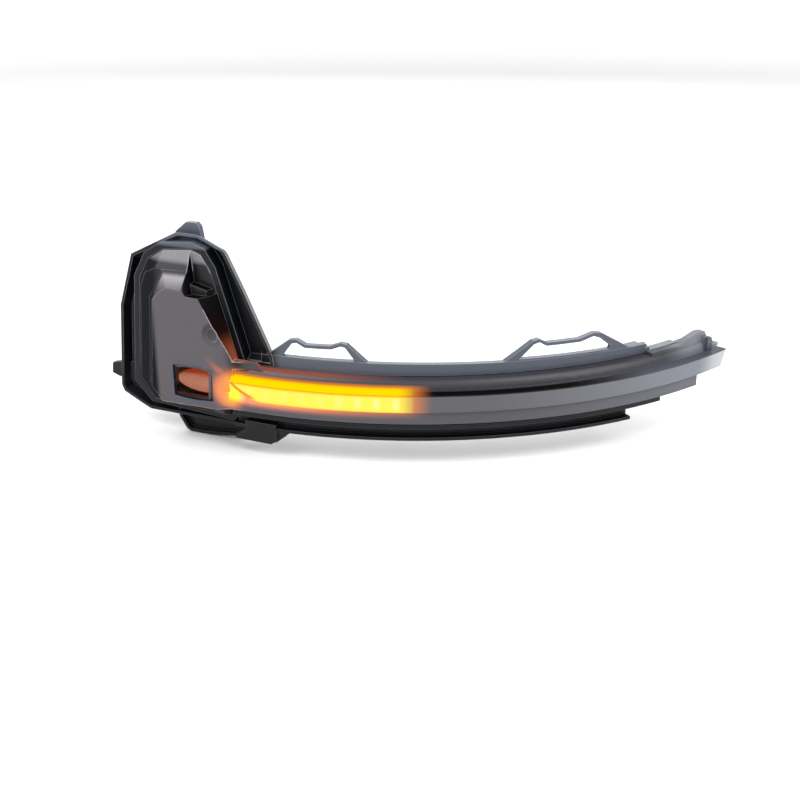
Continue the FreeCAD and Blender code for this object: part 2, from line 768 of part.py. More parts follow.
bezel_skin = lens_form("BezelSkin", bezel_inset, land_depth, lens_wall + cut_over - bezel_gap)
bezel_hollow = lens_form("BezelHollow", chamber_inset, land_depth + cut_over,
                         chamber_inset + cut_over)
guide_slot = strip_bar(
    "GuideSlot", 0.0, land_depth + cut_over, guide_bottom - fit_gap, guide_top + fit_gap,
    guide_end + 0.6, as_size(0.4))
WINDOW = [window_low_left, window_low_right, window_high_right, window_high_left]
WINDOW_ARCS = {0: (window_radius, 1), 2: (window_radius, 1)}
window_opening = slab("WindowOpening", WINDOW, face_step, window_back, window_wall + fit_gap / 2,
                      WINDOW_ARCS, "Arc")
inner_bezel = cut("InnerBezel", cut("BezelShell", bezel_skin, bezel_hollow),
                  fuse("BezelOpenings", [guide_slot, window_opening]))

# Window frame: a short barrel-sided tube that lines the opening in the bezel

frame_front = face_step + lens_wall + 0.15
window_frame = cut(
    "WindowFrame",
    slab("FrameOuter", WINDOW, frame_front, window_back, window_wall, WINDOW_ARCS, "Arc"),
    slab("FrameInner", WINDOW, face_step, window_back + cut_over, 0.0, WINDOW_ARCS))

# Rear housing: black tray, tub and strip channel with every fixing point

TUB = [BASE[0], BASE[1], BASE[2], BASE[3], BASE[5], BASE[6], BASE[8]]
plate_back = rim_depth + rim_body
rim_slope = rim_draft / rim_body
rim_plate = cut(
    "RimTray",
    loft("RimPlate", [
        face_sketch("RimFront", RIM, rim_depth),
        offset(face_sketch("RimBack", RIM, plate_back), -rim_draft)]),
    loft("RimPocket", [
        offset(face_sketch("PocketFront", RIM, rim_depth - cut_over),
               rim_slope * cut_over - rim_lip),
        offset(face_sketch("PocketBack", RIM, rim_depth + lip_height),
               -(rim_lip + rim_slope * lip_height))]))
collar = slab("Collar", base_outline(), collar_front, plate_back, lens_gap + collar_wall)
tub = loft("Tub", [
    offset(face_sketch("TubFront", TUB, land_depth), -0.4),
    offset(face_sketch("TubBack", TUB, tub_back), -tub_draft)])
channel = strip_bar("Channel", rim_depth, channel_back, -channel_bottom, channel_top, channel_end)
channel_stub = strip_stub(
    "ChannelStub", rim_depth, channel_back, -channel_bottom, channel_top, channel_into_tub)
flange = curved_plate("Flange", [
    (flange_left[0], ridge_height), (flange_tip[0], ridge_height - fit_gap), flange_tip,
    flange_notch, flange_barb, flange_right, flange_middle, flange_left], flange_angle,
    flange_depth, flange_depth + flange_thickness, as_size(29.0), flange_room)
under_top = -(low_face_bottom + lens_under_gap)
skirt_profile = section_sketch("Skirt", [
    (skirt_front - 0.8, under_top), (channel_back, under_top), (channel_back, -channel_bottom),
    (skirt_front + skirt_recess + skirt_wall, -channel_bottom),
    (skirt_front + skirt_recess + skirt_wall, -skirt_bottom), (skirt_front, -skirt_bottom),
    (skirt_front, skirt_wall - skirt_bottom),
    (skirt_front + skirt_recess, skirt_wall - skirt_bottom),
    (skirt_front + skirt_recess, under_top - 1.7), (skirt_front - 0.8, under_top - 1.7)])
skirt = sweep_round(skirt_profile, skirt_end)
under_wall = strip_bar("UnderWall", skirt_front - 0.8, channel_back, under_top - 1.7, under_top,
                       channel_end, skirt_end - 1.0)
tail_land = fuse("TailLand", [
    strip_bar("TailLandLow", land_depth, channel_back - 3.0, -low_face_bottom, ridge_height,
              low_face_end - 0.1, channel_end - 1.0),
    strip_bar("TailLandHigh", land_depth, land_depth + 2.0, 0.1 - box_height, ridge_height,
              ridge_end - 0.2, low_face_end - 1.0)])


def clip_loop(name, angle, outer, inner):
    """A trapezoid loop that stands on the flange, with ears at its upper corners."""
    foot = flange_top - 2.6
    return curved_plate(
        name, [(outer[-1][0], foot), (outer[0][0], foot)] + outer, angle, flange_depth + 0.1,
        flange_depth + flange_thickness, as_size(12.0), hole=inner)


first_loop = clip_loop("FirstLoop", first_loop_angle, FIRST_LOOP, FIRST_WINDOW)
second_loop = clip_loop("SecondLoop", second_loop_angle, SECOND_LOOP, SECOND_WINDOW)
tongue = slab("Tongue", TONGUE, plate_back - fixing_thickness, plate_back)
left_tab = slab("LeftTab", LEFT_TAB, plate_back - fixing_thickness, plate_back)
lower_tray = cut("LowerTray", slab("Tray", TRAY, tray_front, plate_back),
                 slab("TrayPocket", TRAY, tray_front - cut_over, plate_back - 2.2, -rim_lip))
bracket = fuse("HookBracket", [
    slab("BracketPlate", BRACKET, bracket_front, bracket_front + bracket_depth),
    slab("BracketHook", HOOK, bracket_front + 1.0, bracket_front + hook_depth)])
main_boss = rod("MainBoss", 0.0, 0.0, boss_radius, land_depth, channel_back + boss_height)
main_boss_rib = block("MainBossRib", -12.0, 14.0, channel_back - 0.5, channel_back + 4.4, -0.8, 0.8)
strip_boss = turn(group("StripBoss", [
    rod("StripBossRod", 0.0, strip_boss_height, boss_radius, land_depth,
        channel_back + strip_boss_length)]), strip_boss_angle)
peg = turn(group("LocatingPeg", [
    rod("PegRod", 0.0, strip_boss_height, peg_radius, channel_back - 1.0,
        channel_back + peg_length)]), peg_angle)
ribs = [
    ring_block(f"Rib{number}", rib_pitch * number, rib_width, flange_depth + 1.0,
               flange_depth + flange_thickness + rib_reach, channel_top - 0.5,
               channel_top + rib_height)
    for number in (1, 2, 3, 4, 5)]
shroud = block("Shroud", socket_x - shroud_wide / 2, socket_x + shroud_wide / 2, tub_depth,
               shroud_back, socket_z - shroud_high / 2, socket_z + shroud_high / 2)
shroud_keys = block("ShroudKeys", socket_x - 1.2, socket_x + 1.2, tub_depth + 4.0, shroud_back,
                    socket_z + shroud_high / 2 - 0.5, socket_z + shroud_high / 2 + 1.4)
board_posts = [rod(f"BoardPost{number}", x, z, post_radius, board_back, tub_depth + 0.5)
               for number, (x, z) in enumerate(POSTS)]
housing_body = fuse("HousingBody", [
    rim_plate, collar, tub, channel, channel_stub, flange, skirt, under_wall, tail_land,
    first_loop, second_loop, tongue, left_tab, lower_tray, bracket, main_boss, main_boss_rib,
    strip_boss, peg, shroud, shroud_keys] + ribs)

pocket_top = ridge_height + lens_gap
lens_pockets = [
    slab("HeadPocket", base_outline(), collar_front - cut_over, land_depth, lens_gap),
    strip_bar("StripPocket", -cut_over, land_depth, under_top, pocket_top, box_end + 3.0),
    strip_stub("StripPocketStub", -cut_over, land_depth, under_top, pocket_top,
               lens_gap + collar_wall + cut_over)]
tub_hollow = loft("TubHollow", [
    offset(face_sketch("HollowFront", TUB, land_depth - 0.1), -chamber_inset),
    offset(face_sketch("HollowBack", TUB, tub_depth), -(tub_draft + housing_wall))])
deep_chamber = [
    strip_bar("DeepStrip", land_depth - 0.1, channel_depth, -chamber_low, chamber_high,
              channel_end - 0.8),
    strip_stub("DeepStripStub", land_depth - 0.1, channel_depth, -chamber_low, chamber_high,
               channel_into_tub)]
pilot = rod("MainBossPilot", 0.0, 0.0, pilot_radius, channel_back + boss_height - pilot_length,
            channel_back + boss_height + cut_over)
strip_pilot = turn(group("StripBossPilot", [
    rod("StripPilotRod", 0.0, strip_boss_height, pilot_radius,
        channel_back + strip_boss_length - 6.0, channel_back + strip_boss_length + cut_over)]),
    strip_boss_angle)
socket = block("Socket", socket_x - socket_wide / 2, socket_x + socket_wide / 2,
               tub_back + housing_wall, shroud_back + cut_over, socket_z - socket_high / 2,
               socket_z + socket_high / 2)
pin_holes = group("PinHoles", [
    block(f"PinHole{number}", socket_x + pin_pitch * (number - 1) - pin_half - 0.05,
          socket_x + pin_pitch * (number - 1) + pin_half + 0.05, tub_depth - cut_over,
          shroud_back, socket_z - pin_half - 0.05, socket_z + pin_half + 0.05)
    for number in (0, 1, 2)])
vent_hole = rod("VentHole", vent_place[0], vent_place[1], 1.25, tub_depth - cut_over,
                tub_back + cut_over)
housing_shell = hollow_out("HousingShell", housing_body, lens_pockets + [tub_hollow] +
                           deep_chamber + [pilot, strip_pilot, socket, vent_hole])
post_pilots = [rod(f"PostPilot{number}", x, z, screw_radius, board_back - cut_over,
                   tub_depth + 0.2) for number, (x, z) in enumerate(POSTS)]
rear_housing = hollow_out("RearHousing", fuse("HousingWithPosts", [housing_shell] + board_posts),
                          [pin_holes] + post_pilots)

# Seal: a bead between the edge of the lens and its land

bead_in = fit_gap
bead_out = lens_wall - fit_gap / 2
seal_outer = fuse("SealOuter", [
    slab("SealHead", base_outline(), lens_back, land_depth, -bead_in),
    strip_bar("SealLow", lens_back, land_depth, bead_in - low_face_bottom, ridge_height - bead_in,
              low_face_end - 0.1),
    strip_stub("SealJoin", lens_back, land_depth, bead_in - low_face_bottom,
               ridge_height - bead_in, bead_in + 0.1),
    strip_bar("SealHigh", lens_back, land_depth, bead_in - box_height, ridge_height - bead_in,
              ridge_end - 0.1)])
seal_inner = fuse("SealInner", [
    slab("SealHeadIn", base_outline(), lens_back - cut_over, land_depth + cut_over, -bead_out),
    strip_bar("SealLowIn", lens_back - cut_over, land_depth + cut_over,
              bead_out - low_face_bottom, ridge_height - bead_out, low_face_end - 0.5),
    strip_stub("SealJoinIn", lens_back - cut_over, land_depth + cut_over,
               bead_out - low_face_bottom, ridge_height - bead_out, bead_out + 0.1),
    strip_bar("SealHighIn", lens_back - cut_over, land_depth + cut_over, bead_out - box_height,
              ridge_height - bead_out, ridge_end - 0.5)])
lens_seal = cut("LensSeal", seal_outer, seal_inner)

# Strip light: guide bar, diffuser, light sources on a bent board, and the carrier behind it

light_guide = cut("StripLightGuide", strip_bar(
    "GuideBar", guide_front, guide_back, guide_bottom, guide_top, guide_end, as_size(0.8)),
    tip_cutter("GuideTip", guide_front))
diffuser_film = strip_bar("DiffuserFilm", guide_back, guide_back + 0.4, guide_bottom, guide_top,
                          guide_end, as_size(0.8))
strip_leds = group("StripLeds", [
    ring_block(f"StripLed{number}", led_pitch * number + led_start, 3.0, led_board_front - 1.4,
               led_board_front, led_height - 1.4, led_height + 1.4)
    for number in range(12)])
led_strip_board = strip_bar("LedStripBoard", led_board_front + 0.05, led_board_front + 1.05,
                            carrier_low + 0.3, carrier_high - 0.3, channel_end - 1.6,
                            as_size(0.7))
led_carrier = fuse("LedCarrier", [
    strip_bar("CarrierBar", led_board_front + 1.05, led_board_front + 2.5, carrier_low,
              carrier_high, channel_end - 1.4, as_size(1.6))] + [
    ring_block(f"CarrierFoot{number}", angle, 4.0, led_board_front + 2.0, channel_depth,
               carrier_low + 1.4, carrier_high - 1.4)
    for number, angle in enumerate((8.0, 20.0, 32.0, 44.0, 54.0))])

# Window light: a bullet shaped guide with a stem down to its own light source

bullet_depth = window_back + fit_gap + bullet_radius
nose_turns = [math.radians(15.0 * step) for step in range(6)]
bullet_half = plan_sketch("BulletHalf", [
    (bullet_start - bullet_nose * math.cos(turn), bullet_depth - bullet_radius * math.sin(turn))
    for turn in nose_turns] + [
    (bullet_start, bullet_depth - bullet_radius),
    (bullet_start + bullet_length, bullet_depth - bullet_radius),
    (bullet_start + bullet_length, bullet_depth)], bullet_height)
bullet = doc.addObject("Part::Revolution", "Bullet")
bullet.Source = bullet_half
bullet.Axis = Vector(1, 0, 0)
bullet.Angle = 360
bullet.Solid = True
bind(bullet, "Base.y", front_y + bullet_depth)
bind(bullet, "Base.z", bullet_height)
window_light_guide = fuse("WindowLightGuide", [
    bullet,
    rod("BulletStem", bullet_start + stem_shift, bullet_height, 3.0, bullet_depth,
        board_front - 1.5)])
window_led = block("WindowLed", bullet_start + stem_shift - 1.5,
                   bullet_start + stem_shift + 1.5, board_front - 1.1, board_front,
                   bullet_height - 1.5, bullet_height + 1.5)


# Driver board: a drilled circuit board on two posts, with its components and fixings

def board_plane(body, name, corners):
    """Draws an outline in a body, on its upright plane, tied to the sheet."""
    drawing = body.newObject("Sketcher::SketchObject", name)
    plane = next(item for item in body.Origin.OriginFeatures if item.Role == "XZ_Plane")
    drawing.AttachmentSupport = [(plane, "")]
    drawing.MapMode = "FlatFace"
    count = len(corners)
    points = [Vector(as_size(a).value, as_size(b).value, 0) for a, b in corners]
    for index in range(count):
        drawing.addGeometry(
            Part.LineSegment(points[index], points[(index + 1) % count]), False)
    for index in range(count):
        drawing.addConstraint(
            Sketcher.Constraint("Coincident", index, 2, (index + 1) % count, 1))
    for index, (across, up) in enumerate(corners):
        for kind, value in (("DistanceX", as_size(across)), ("DistanceY", as_size(up))):
            number = drawing.addConstraint(Sketcher.Constraint(kind, index, 1, value.value))
            bind(drawing, f"Constraints[{number}]", value)
    return drawing


driver_board = doc.addObject("PartDesign::Body", "DriverBoard")
board_outline = board_plane(driver_board, "BoardOutline", BOARD)
board_pad = driver_board.newObject("PartDesign::Pad", "BoardPad")
board_pad.Profile = board_outline
board_pad.Reversed = True
bind(board_pad, "Length", board_thickness)
bind(driver_board, "Placement.Base.y", front_y + board_front)
doc.recompute()
solid_board = board_pad.Shape.Volume
board_drill = driver_board.newObject("Sketcher::SketchObject", "BoardDrill")
board_drill.AttachmentSupport = [(next(
    item for item in driver_board.Origin.OriginFeatures if item.Role == "XZ_Plane"), "")]
board_drill.MapMode = "FlatFace"
for number, (x, z) in enumerate(POSTS):
    board_drill.addGeometry(Part.Circle(Vector(x.value, z.value, 0), Vector(0, 0, 1), 1.7), False)
    for kind, value in (("DistanceX", x), ("DistanceY", z)):
        constraint = board_drill.addConstraint(
            Sketcher.Constraint(kind, number, 3, value.value))
        bind(board_drill, f"Constraints[{constraint}]", value)
    constraint = board_drill.addConstraint(Sketcher.Constraint("Radius", number, 1.7))
    bind(board_drill, f"Constraints[{constraint}]", screw_radius + fit_gap)
board_pocket = driver_board.newObject("PartDesign::Pocket", "BoardHoles")
board_pocket.Profile = board_drill
board_pocket.Type = "ThroughAll"
board_pocket.Midplane = True
doc.recompute()
if board_pocket.Shape.Volume > solid_board - 1.0:
    raise RuntimeError("the holes of the driver board cut nothing")

driver_chip = fuse("DriverChip", [
    block("ChipBody", -31.5, -25.5, board_front - 1.3, board_front - 0.2, 15.0, 20.0),
    block("ChipLegs", -32.3, -24.7, board_front - 0.5, board_front, 15.5, 19.5)])
chip_resistors = group("ChipResistors", [
    block(f"Resistor{number}", x, x + 1.6, board_front - 0.5, board_front, z, z + 0.8)
    for number, (x, z) in enumerate([
        (-36.5, 17.0), (-36.5, 19.5), (-36.5, 22.0), (-23.0, 11.0), (-19.6, 11.0),
        (-34.0, 8.0)])])
chip_capacitors = group("ChipCapacitors", [
    block(f"Capacitor{number}", x, x + 2.0, board_front - 1.2, board_front, z, z + 1.25)
    for number, (x, z) in enumerate([(-30.5, 24.0), (-26.5, 24.0), (-37.5, 12.0)])])
protection_diode = fuse("ProtectionDiode", [
    block("DiodeBody", -33.0, -28.8, board_front - 2.1, board_front - 0.2, -7.6, -5.0),
    block("DiodeTabs", -33.7, -28.1, board_front - 0.6, board_front, -7.0, -5.6)])
power_inductor = fuse("PowerInductor", [
    block("InductorBase", -35.4, -29.6, board_front - 0.9, board_front, -0.4, 5.4),
    rod("InductorCore", -32.5, 2.5, 2.6, board_front - 3.0, board_front - 0.5)])


def board_screw(number, across, up):
    """One pan head screw, turned in a body of its own."""
    body = doc.addObject("PartDesign::Body", f"BoardScrew{number}")
    half = body.newObject("Sketcher::SketchObject", f"ScrewHalf{number}")
    half.AttachmentSupport = [(next(
        item for item in body.Origin.OriginFeatures if item.Role == "XY_Plane"), "")]
    half.MapMode = "FlatFace"
    corners = [
        (0.0, 0.0), (screw_head_radius, 0.0), (screw_head_radius, screw_head_height),
        (screw_radius - 0.05, screw_head_height),
        (screw_radius - 0.05, screw_head_height + screw_length),
        (0.0, screw_head_height + screw_length)]
    points = [Vector(as_size(a).value, as_size(b).value, 0) for a, b in corners]
    for index in range(len(points)):
        half.addGeometry(
            Part.LineSegment(points[index], points[(index + 1) % len(points)]), False)
    for index in range(len(points)):
        half.addConstraint(
            Sketcher.Constraint("Coincident", index, 2, (index + 1) % len(points), 1))
    for index, pair in enumerate(corners):
        for kind, value in zip(("DistanceX", "DistanceY"), pair):
            value = as_size(value)
            constraint = half.addConstraint(
                Sketcher.Constraint(kind, index, 1, value.value))
            bind(half, f"Constraints[{constraint}]", value)
    turned = body.newObject("PartDesign::Revolution", f"ScrewTurned{number}")
    turned.Profile = half
    turned.ReferenceAxis = (half, ["V_Axis"])
    turned.Angle = 360
    bind(body, "Placement.Base.x", across)
    bind(body, "Placement.Base.y", front_y + board_front - screw_head_height)
    bind(body, "Placement.Base.z", up)
    return body


board_screws = group("BoardScrews", [
    board_screw(number, x, z) for number, (x, z) in enumerate(POSTS)])

ribbon_profile = plan_sketch("Ribbon", [
    (-15.6, board_front - ribbon_thickness), (-14.0, board_front - ribbon_thickness),
    (-10.8, board_front - 4.1), (-9.0, board_front - 4.8), (-3.2, led_board_front + 0.4),
    (0.4, led_board_front - ribbon_thickness),
    (5.0, led_board_front - ribbon_thickness), (5.0, led_board_front),
    (0.6, led_board_front), (-2.9, led_board_front + 0.8), (-8.7, board_front - 4.4),
    (-10.5, board_front - 3.8), (-13.8, board_front),
    (-15.6, board_front)], led_height - 1.6)
board_ribbon = extrude(ribbon_profile, Vector(0, 0, 1), 3.2)

contact_pins = group("ContactPins", [
    block(f"ContactPin{number}", socket_x + pin_pitch * (number - 1) - pin_half,
          socket_x + pin_pitch * (number - 1) + pin_half, board_back, shroud_back - 3.0,
          socket_z - pin_half, socket_z + pin_half)
    for number in (0, 1, 2)])
vent_membrane = rod("VentMembrane", vent_place[0], vent_place[1], 4.0, tub_back, tub_back + 0.5)


# Names of the finished pieces, the state of the document and the exchange files

NODES = {
    "outer_lens": outer_lens,
    "inner_bezel": inner_bezel,
    "window_frame": window_frame,
    "rear_housing": rear_housing,
    "lens_seal": lens_seal,
    "strip_light_guide": light_guide,
    "diffuser_film": diffuser_film,
    "strip_leds": strip_leds,
    "led_strip_board": led_strip_board,
    "led_carrier": led_carrier,
    "window_light_guide": window_light_guide,
    "window_led": window_led,
    "driver_board": driver_board,
    "driver_chip": driver_chip,
    "chip_resistors": chip_resistors,
    "chip_capacitors": chip_capacitors,
    "protection_diode": protection_diode,
    "power_inductor": power_inductor,
    "board_screws": board_screws,
    "board_ribbon": board_ribbon,
    "contact_pins": contact_pins,
    "vent_membrane": vent_membrane,
}
for node, piece in NODES.items():
    piece.Label = node

doc.recompute()
for item in doc.Objects:
    if any(word in item.State for word in ("Invalid", "Error")):
        raise RuntimeError(f"{item.Name} has failed: {item.State}")
for node, piece in NODES.items():
    if piece.Shape.isNull() or not piece.Shape.isValid() or not piece.Shape.Solids:
        raise RuntimeError(f"{node} has no valid shape")

os.makedirs("parts", exist_ok=True)
for node, piece in NODES.items():
    piece.Shape.exportStep(f"parts/{node}.step")
    print(f"{node}: {len(piece.Shape.Solids)} solids, {piece.Shape.Volume:.0f} cubic mm")
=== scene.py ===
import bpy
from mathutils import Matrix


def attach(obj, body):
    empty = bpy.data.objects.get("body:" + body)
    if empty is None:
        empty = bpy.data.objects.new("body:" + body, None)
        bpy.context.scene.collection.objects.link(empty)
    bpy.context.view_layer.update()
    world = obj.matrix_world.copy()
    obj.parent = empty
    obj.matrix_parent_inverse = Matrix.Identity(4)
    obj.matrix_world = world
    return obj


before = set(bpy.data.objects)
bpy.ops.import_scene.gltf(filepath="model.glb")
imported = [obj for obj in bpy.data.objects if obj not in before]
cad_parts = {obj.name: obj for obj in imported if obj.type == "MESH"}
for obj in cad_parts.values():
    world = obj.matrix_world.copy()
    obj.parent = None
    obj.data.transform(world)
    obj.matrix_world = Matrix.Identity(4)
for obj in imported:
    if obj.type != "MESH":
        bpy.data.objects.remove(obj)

"""Dresses the mirror turn signal lamp: smoked lens, satin bezel, black housing and the lit
amber strip, with the small fittings that the solids leave out, in a plain pale studio.
"""

import logging
import math
from dataclasses import dataclass, field
from enum import Enum
from functools import cached_property, partial, reduce
from typing import NamedTuple, Protocol

import bmesh
import bpy
from mathutils import Matrix, Vector

log = logging.getLogger("turn_signal_lamp")

MM = 0.001
TURN = 2 * math.pi
SHARP_EDGE = math.radians(35)
SCREEN_LEVELS = 255
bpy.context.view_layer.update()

Socket = bpy.types.NodeSocket
Pair = tuple[float, float]
Triple = tuple[float, float, float]
Span = Pair
Colour = Triple


def srgb(red: int, green: int, blue: int) -> Colour:
    """Turns a colour as read on a screen, 0 to 255, into linear light.

    Args:
        red: Red share.
        green: Green share.
        blue: Blue share.

    Returns:
        The three linear shares, 0 to 1.
    """
    def one(level: int) -> float:
        """Gives one share in linear light."""
        share = level / SCREEN_LEVELS
        return share / 12.92 if share <= 0.04045 else ((share + 0.055) / 1.055) ** 2.4
    return one(red), one(green), one(blue)


class Grain(Enum):
    """Surface textures of moulded plastic, as the size and depth of their grain."""

    FINE = (2600.0, 0.10)
    SPARK = (1500.0, 0.22)
    SMOOTH = (500.0, 0.02)


class LensToneAndShading(Enum):
    """Colours of the smoked lens, part by part, most with painted light and shade: painted
    highlights on the ramp, the crown, the edges and the far faces of the strip, painted shade in
    the dimple and on the walls, and a painted reflection on the ridge.
    """

    SATIN = srgb(84, 80, 85)
    RAMP_HIGHLIGHT = srgb(162, 158, 164)
    DIMPLE_SHADE = srgb(52, 50, 52)
    FRAME = srgb(76, 81, 95)
    CROWN_HIGHLIGHT = srgb(124, 121, 126)
    PAD_FOOT = srgb(8, 10, 14)
    PAD_TOP = srgb(24, 25, 30)
    OUTER = srgb(20, 21, 25)
    WALL_FOOT = srgb(36, 18, 13)
    WALL_TOP = srgb(6, 6, 6)
    FACE = srgb(88, 87, 91)
    FACE_FAR_HIGHLIGHT = srgb(120, 124, 132)
    FACE_END_HIGHLIGHT = srgb(182, 184, 190)
    BELOW = srgb(80, 79, 84)
    BELOW_FAR_HIGHLIGHT = srgb(96, 97, 104)
    SHADE = srgb(2, 2, 2)
    SHADE_FAR = srgb(76, 78, 86)
    RIDGE = srgb(62, 62, 68)
    RIDGE_FAR_HIGHLIGHT = srgb(122, 124, 132)
    BRIGHT_EDGE = srgb(205, 200, 206)
    UNDER_GLOW = srgb(110, 46, 0)
    SMOKE = (0.30, 0.28, 0.28)
    CLEAR = (0.86, 0.82, 0.80)
    MIRROR = (0.10, 0.10, 0.11)


class Glow(Enum):
    """Colours of the light in the lens, from the lit bar outwards."""

    BAR = srgb(254, 248, 96)
    BAR_RIM = srgb(255, 186, 10)
    BAR_DOT = srgb(255, 252, 150)
    BAND = srgb(255, 226, 0)
    BAND_TOP = srgb(232, 96, 22)
    BORDER = srgb(255, 150, 60)
    OUTLINE = srgb(222, 118, 52)
    HALO = srgb(216, 106, 62)
    POOL_HEART = srgb(255, 200, 0)
    POOL = srgb(255, 150, 84)
    POOL_RIM = srgb(206, 92, 52)
    WALLS = srgb(120, 30, 4)


@dataclass(frozen=True)
class Ring:
    """The ring that the strip follows, in metres in the lamp's frame."""

    radius: float = 185.0 * MM
    front: float = -27.0 * MM

    @property
    def axis(self) -> Vector:
        """A point of the ring's upright axis."""
        return Vector((0.0, self.front + self.radius, 0.0))

    def point(self, angle: float, depth: float, height: float) -> Vector:
        """Finds a place on the strip.

        Args:
            angle: Degrees round the ring from the head.
            depth: Metres behind the lit face.
            height: Metres above the top edge of the light box.

        Returns:
            The place in the lamp's frame.
        """
        turn = math.radians(angle)
        reach = self.radius - depth
        return Vector((reach * math.sin(turn),
                       self.front + self.radius - reach * math.cos(turn), height))


RING = Ring()
LIGHT_TIP = (0.5 * MM, -26.0 * MM, -3.6 * MM)


class Place(NamedTuple):
    """Where a point lies: millimetres across, behind the lit face and up, and degrees."""

    across: Socket
    depth: Socket
    height: Socket
    angle: Socket


class Bench:
    """Lays out the nodes of one material."""

    def __init__(self, name: str) -> None:
        """Starts an empty material.

        Args:
            name: Name of the material.
        """
        self.material = bpy.data.materials.new(name)
        self.material.use_nodes = True
        self.tree = self.material.node_tree
        self.tree.nodes.clear()
        self.output = self.node("ShaderNodeOutputMaterial")
        self.coordinates = self.node("ShaderNodeTexCoord").outputs["Object"]

    def node(self, kind: str, operation: str | None = None, *values: object) -> bpy.types.Node:
        """Adds a node.

        Args:
            kind: Name of its type.
            operation: Name of its operation, if it has one.
            *values: What its first inputs get.

        Returns:
            The node.
        """
        node = self.tree.nodes.new(kind)
        if operation is not None:
            node.operation = operation
        for socket, value in zip(node.inputs, values):
            self.feed(socket, value)
        return node

    def feed(self, socket: Socket, value: object) -> None:
        """Joins a socket or sets a plain value on an input.

        Args:
            socket: The input.
            value: Another node's output, a number or a colour.
        """
        if isinstance(value, Enum):
            value = value.value
        if isinstance(value, bpy.types.NodeSocket):
            self.tree.links.new(value, socket)
        elif isinstance(value, tuple) and len(value) == 3 and socket.type == "RGBA":
            socket.default_value = (*value, 1.0)
        else:
            socket.default_value = value

    def math(self, operation: str, *values: object) -> Socket:
        """Adds one sum of numbers and gives its result."""
        return self.node("ShaderNodeMath", operation, *values).outputs[0]

    def vector_math(self, operation: str, *values: object) -> bpy.types.Node:
        """Adds one sum of vectors."""
        return self.node("ShaderNodeVectorMath", operation, *values)

    def product(self, *shares: object) -> Socket:
        """Multiplies shares."""
        return reduce(partial(self.math, "MULTIPLY"), shares)

    def highest(self, *shares: object) -> Socket:
        """Takes the highest of some shares."""
        return reduce(partial(self.math, "MAXIMUM"), shares)

    def rest(self, share: Socket) -> Socket:
        """Gives what a share leaves of one."""
        return self.math("SUBTRACT", 1.0, share)

    def length(self, first: Socket, second: Socket) -> Socket:
        """Measures the long side of a right triangle from its short sides."""
        return self.math("SQRT", self.math(
            "ADD", self.product(first, first), self.product(second, second)))

    def fade(self, value: Socket, span: Span, levels: Span = (0.0, 1.0)) -> Socket:
        """Turns a number into a share that runs smoothly between two levels.

        Args:
            value: The number.
            span: Where the share is at its first level and at its second.
            levels: The two levels.

        Returns:
            The share's output.
        """
        node = self.node("ShaderNodeMapRange")
        node.interpolation_type = "SMOOTHSTEP"
        self.feed(node.inputs["Value"], value)
        if span[0] > span[1]:
            span, levels = span[::-1], levels[::-1]
        for name, number in zip(("From Min", "From Max", "To Min", "To Max"), span + levels):
            node.inputs[name].default_value = number
        return node.outputs["Result"]

    def between(self, value: Socket, span: Span, soft: float) -> Socket:
        """Gives a share of one between two numbers, with soft borders.

        Args:
            value: The number.
            span: Lower and upper border.
            soft: Width of each border.

        Returns:
            The share's output.
        """
        (start, end), half = span, soft / 2
        return self.product(self.fade(value, (start - half, start + half)),
                            self.fade(value, (end + half, end - half)))

    def blend(self, share: object, first: object, second: object) -> Socket:
        """Mixes two colours.

        Args:
            share: Share of the second colour.
            first: First colour.
            second: Second colour.

        Returns:
            The mixed colour's output.
        """
        node = self.node("ShaderNodeMix")
        node.data_type = "RGBA"
        inputs = [socket for socket in node.inputs if socket.type == "RGBA"]
        self.feed(node.inputs[0], share)
        self.feed(inputs[0], first)
        self.feed(inputs[1], second)
        return next(socket for socket in node.outputs if socket.type == "RGBA")

    def where(self, **spans: Span) -> Socket:
        """Gives a share that rises from nothing to one over spans of the names in Place."""
        return self.product(*(self.fade(getattr(self.place, name), span)
                              for name, span in spans.items()))

    def paint(self, ground: object, colour: object, **spans: Span) -> Socket:
        """Lays a colour over the ground where it sets in, by the names in Place."""
        return self.blend(self.where(**spans), ground, colour)

    def noise(self, scale: float, detail: float = 3.0, stretch: Triple = (1, 1, 1)) -> Socket:
        """Adds a cloudy pattern.

        Args:
            scale: Patches to the metre.
            detail: Finer layers.
            stretch: How the pattern is drawn out along each axis.

        Returns:
            The pattern's output, about 0 to 1.
        """
        mapping = self.node("ShaderNodeMapping")
        mapping.inputs["Scale"].default_value = stretch
        self.feed(mapping.inputs["Vector"], self.coordinates)
        node = self.node("ShaderNodeTexNoise")
        node.inputs["Scale"].default_value = scale
        node.inputs["Detail"].default_value = detail
        self.feed(node.inputs["Vector"], mapping.outputs[0])
        return node.outputs["Fac"]

    def rounded(self, radius: float, samples: int) -> Socket:
        """Gives the normal of a surface whose sharp edges are rounded.

        Args:
            radius: The rounding's radius, in metres.
            samples: How finely it is worked out.

        Returns:
            The normal's output.
        """
        node = self.node("ShaderNodeBevel")
        node.samples = samples
        node.inputs["Radius"].default_value = radius
        return node.outputs[0]

    def relief(self, height: Socket, strength: float, edge: float = 0.0) -> Socket:
        """Adds a grain to the surface, over rounded edges.

        Args:
            height: The grain's pattern.
            strength: How deep it looks.
            edge: Radius in metres that sharp edges seem to have.

        Returns:
            The normal's output.
        """
        bump = self.node("ShaderNodeBump")
        bump.inputs["Strength"].default_value = strength
        bump.inputs["Distance"].default_value = 0.2 * MM
        self.feed(bump.inputs["Height"], height)
        if edge > 0.0:
            self.feed(bump.inputs["Normal"], self.rounded(edge, 4))
        return bump.outputs["Normal"]

    def shader(self, **values: object) -> bpy.types.Node:
        """Adds a Principled shader.

        Args:
            **values: Inputs by name, with spaces as underscores.

        Returns:
            The shader's node.
        """
        node = self.node("ShaderNodeBsdfPrincipled")
        for name, value in values.items():
            self.feed(node.inputs[name.replace("_", " ")], value)
        return node

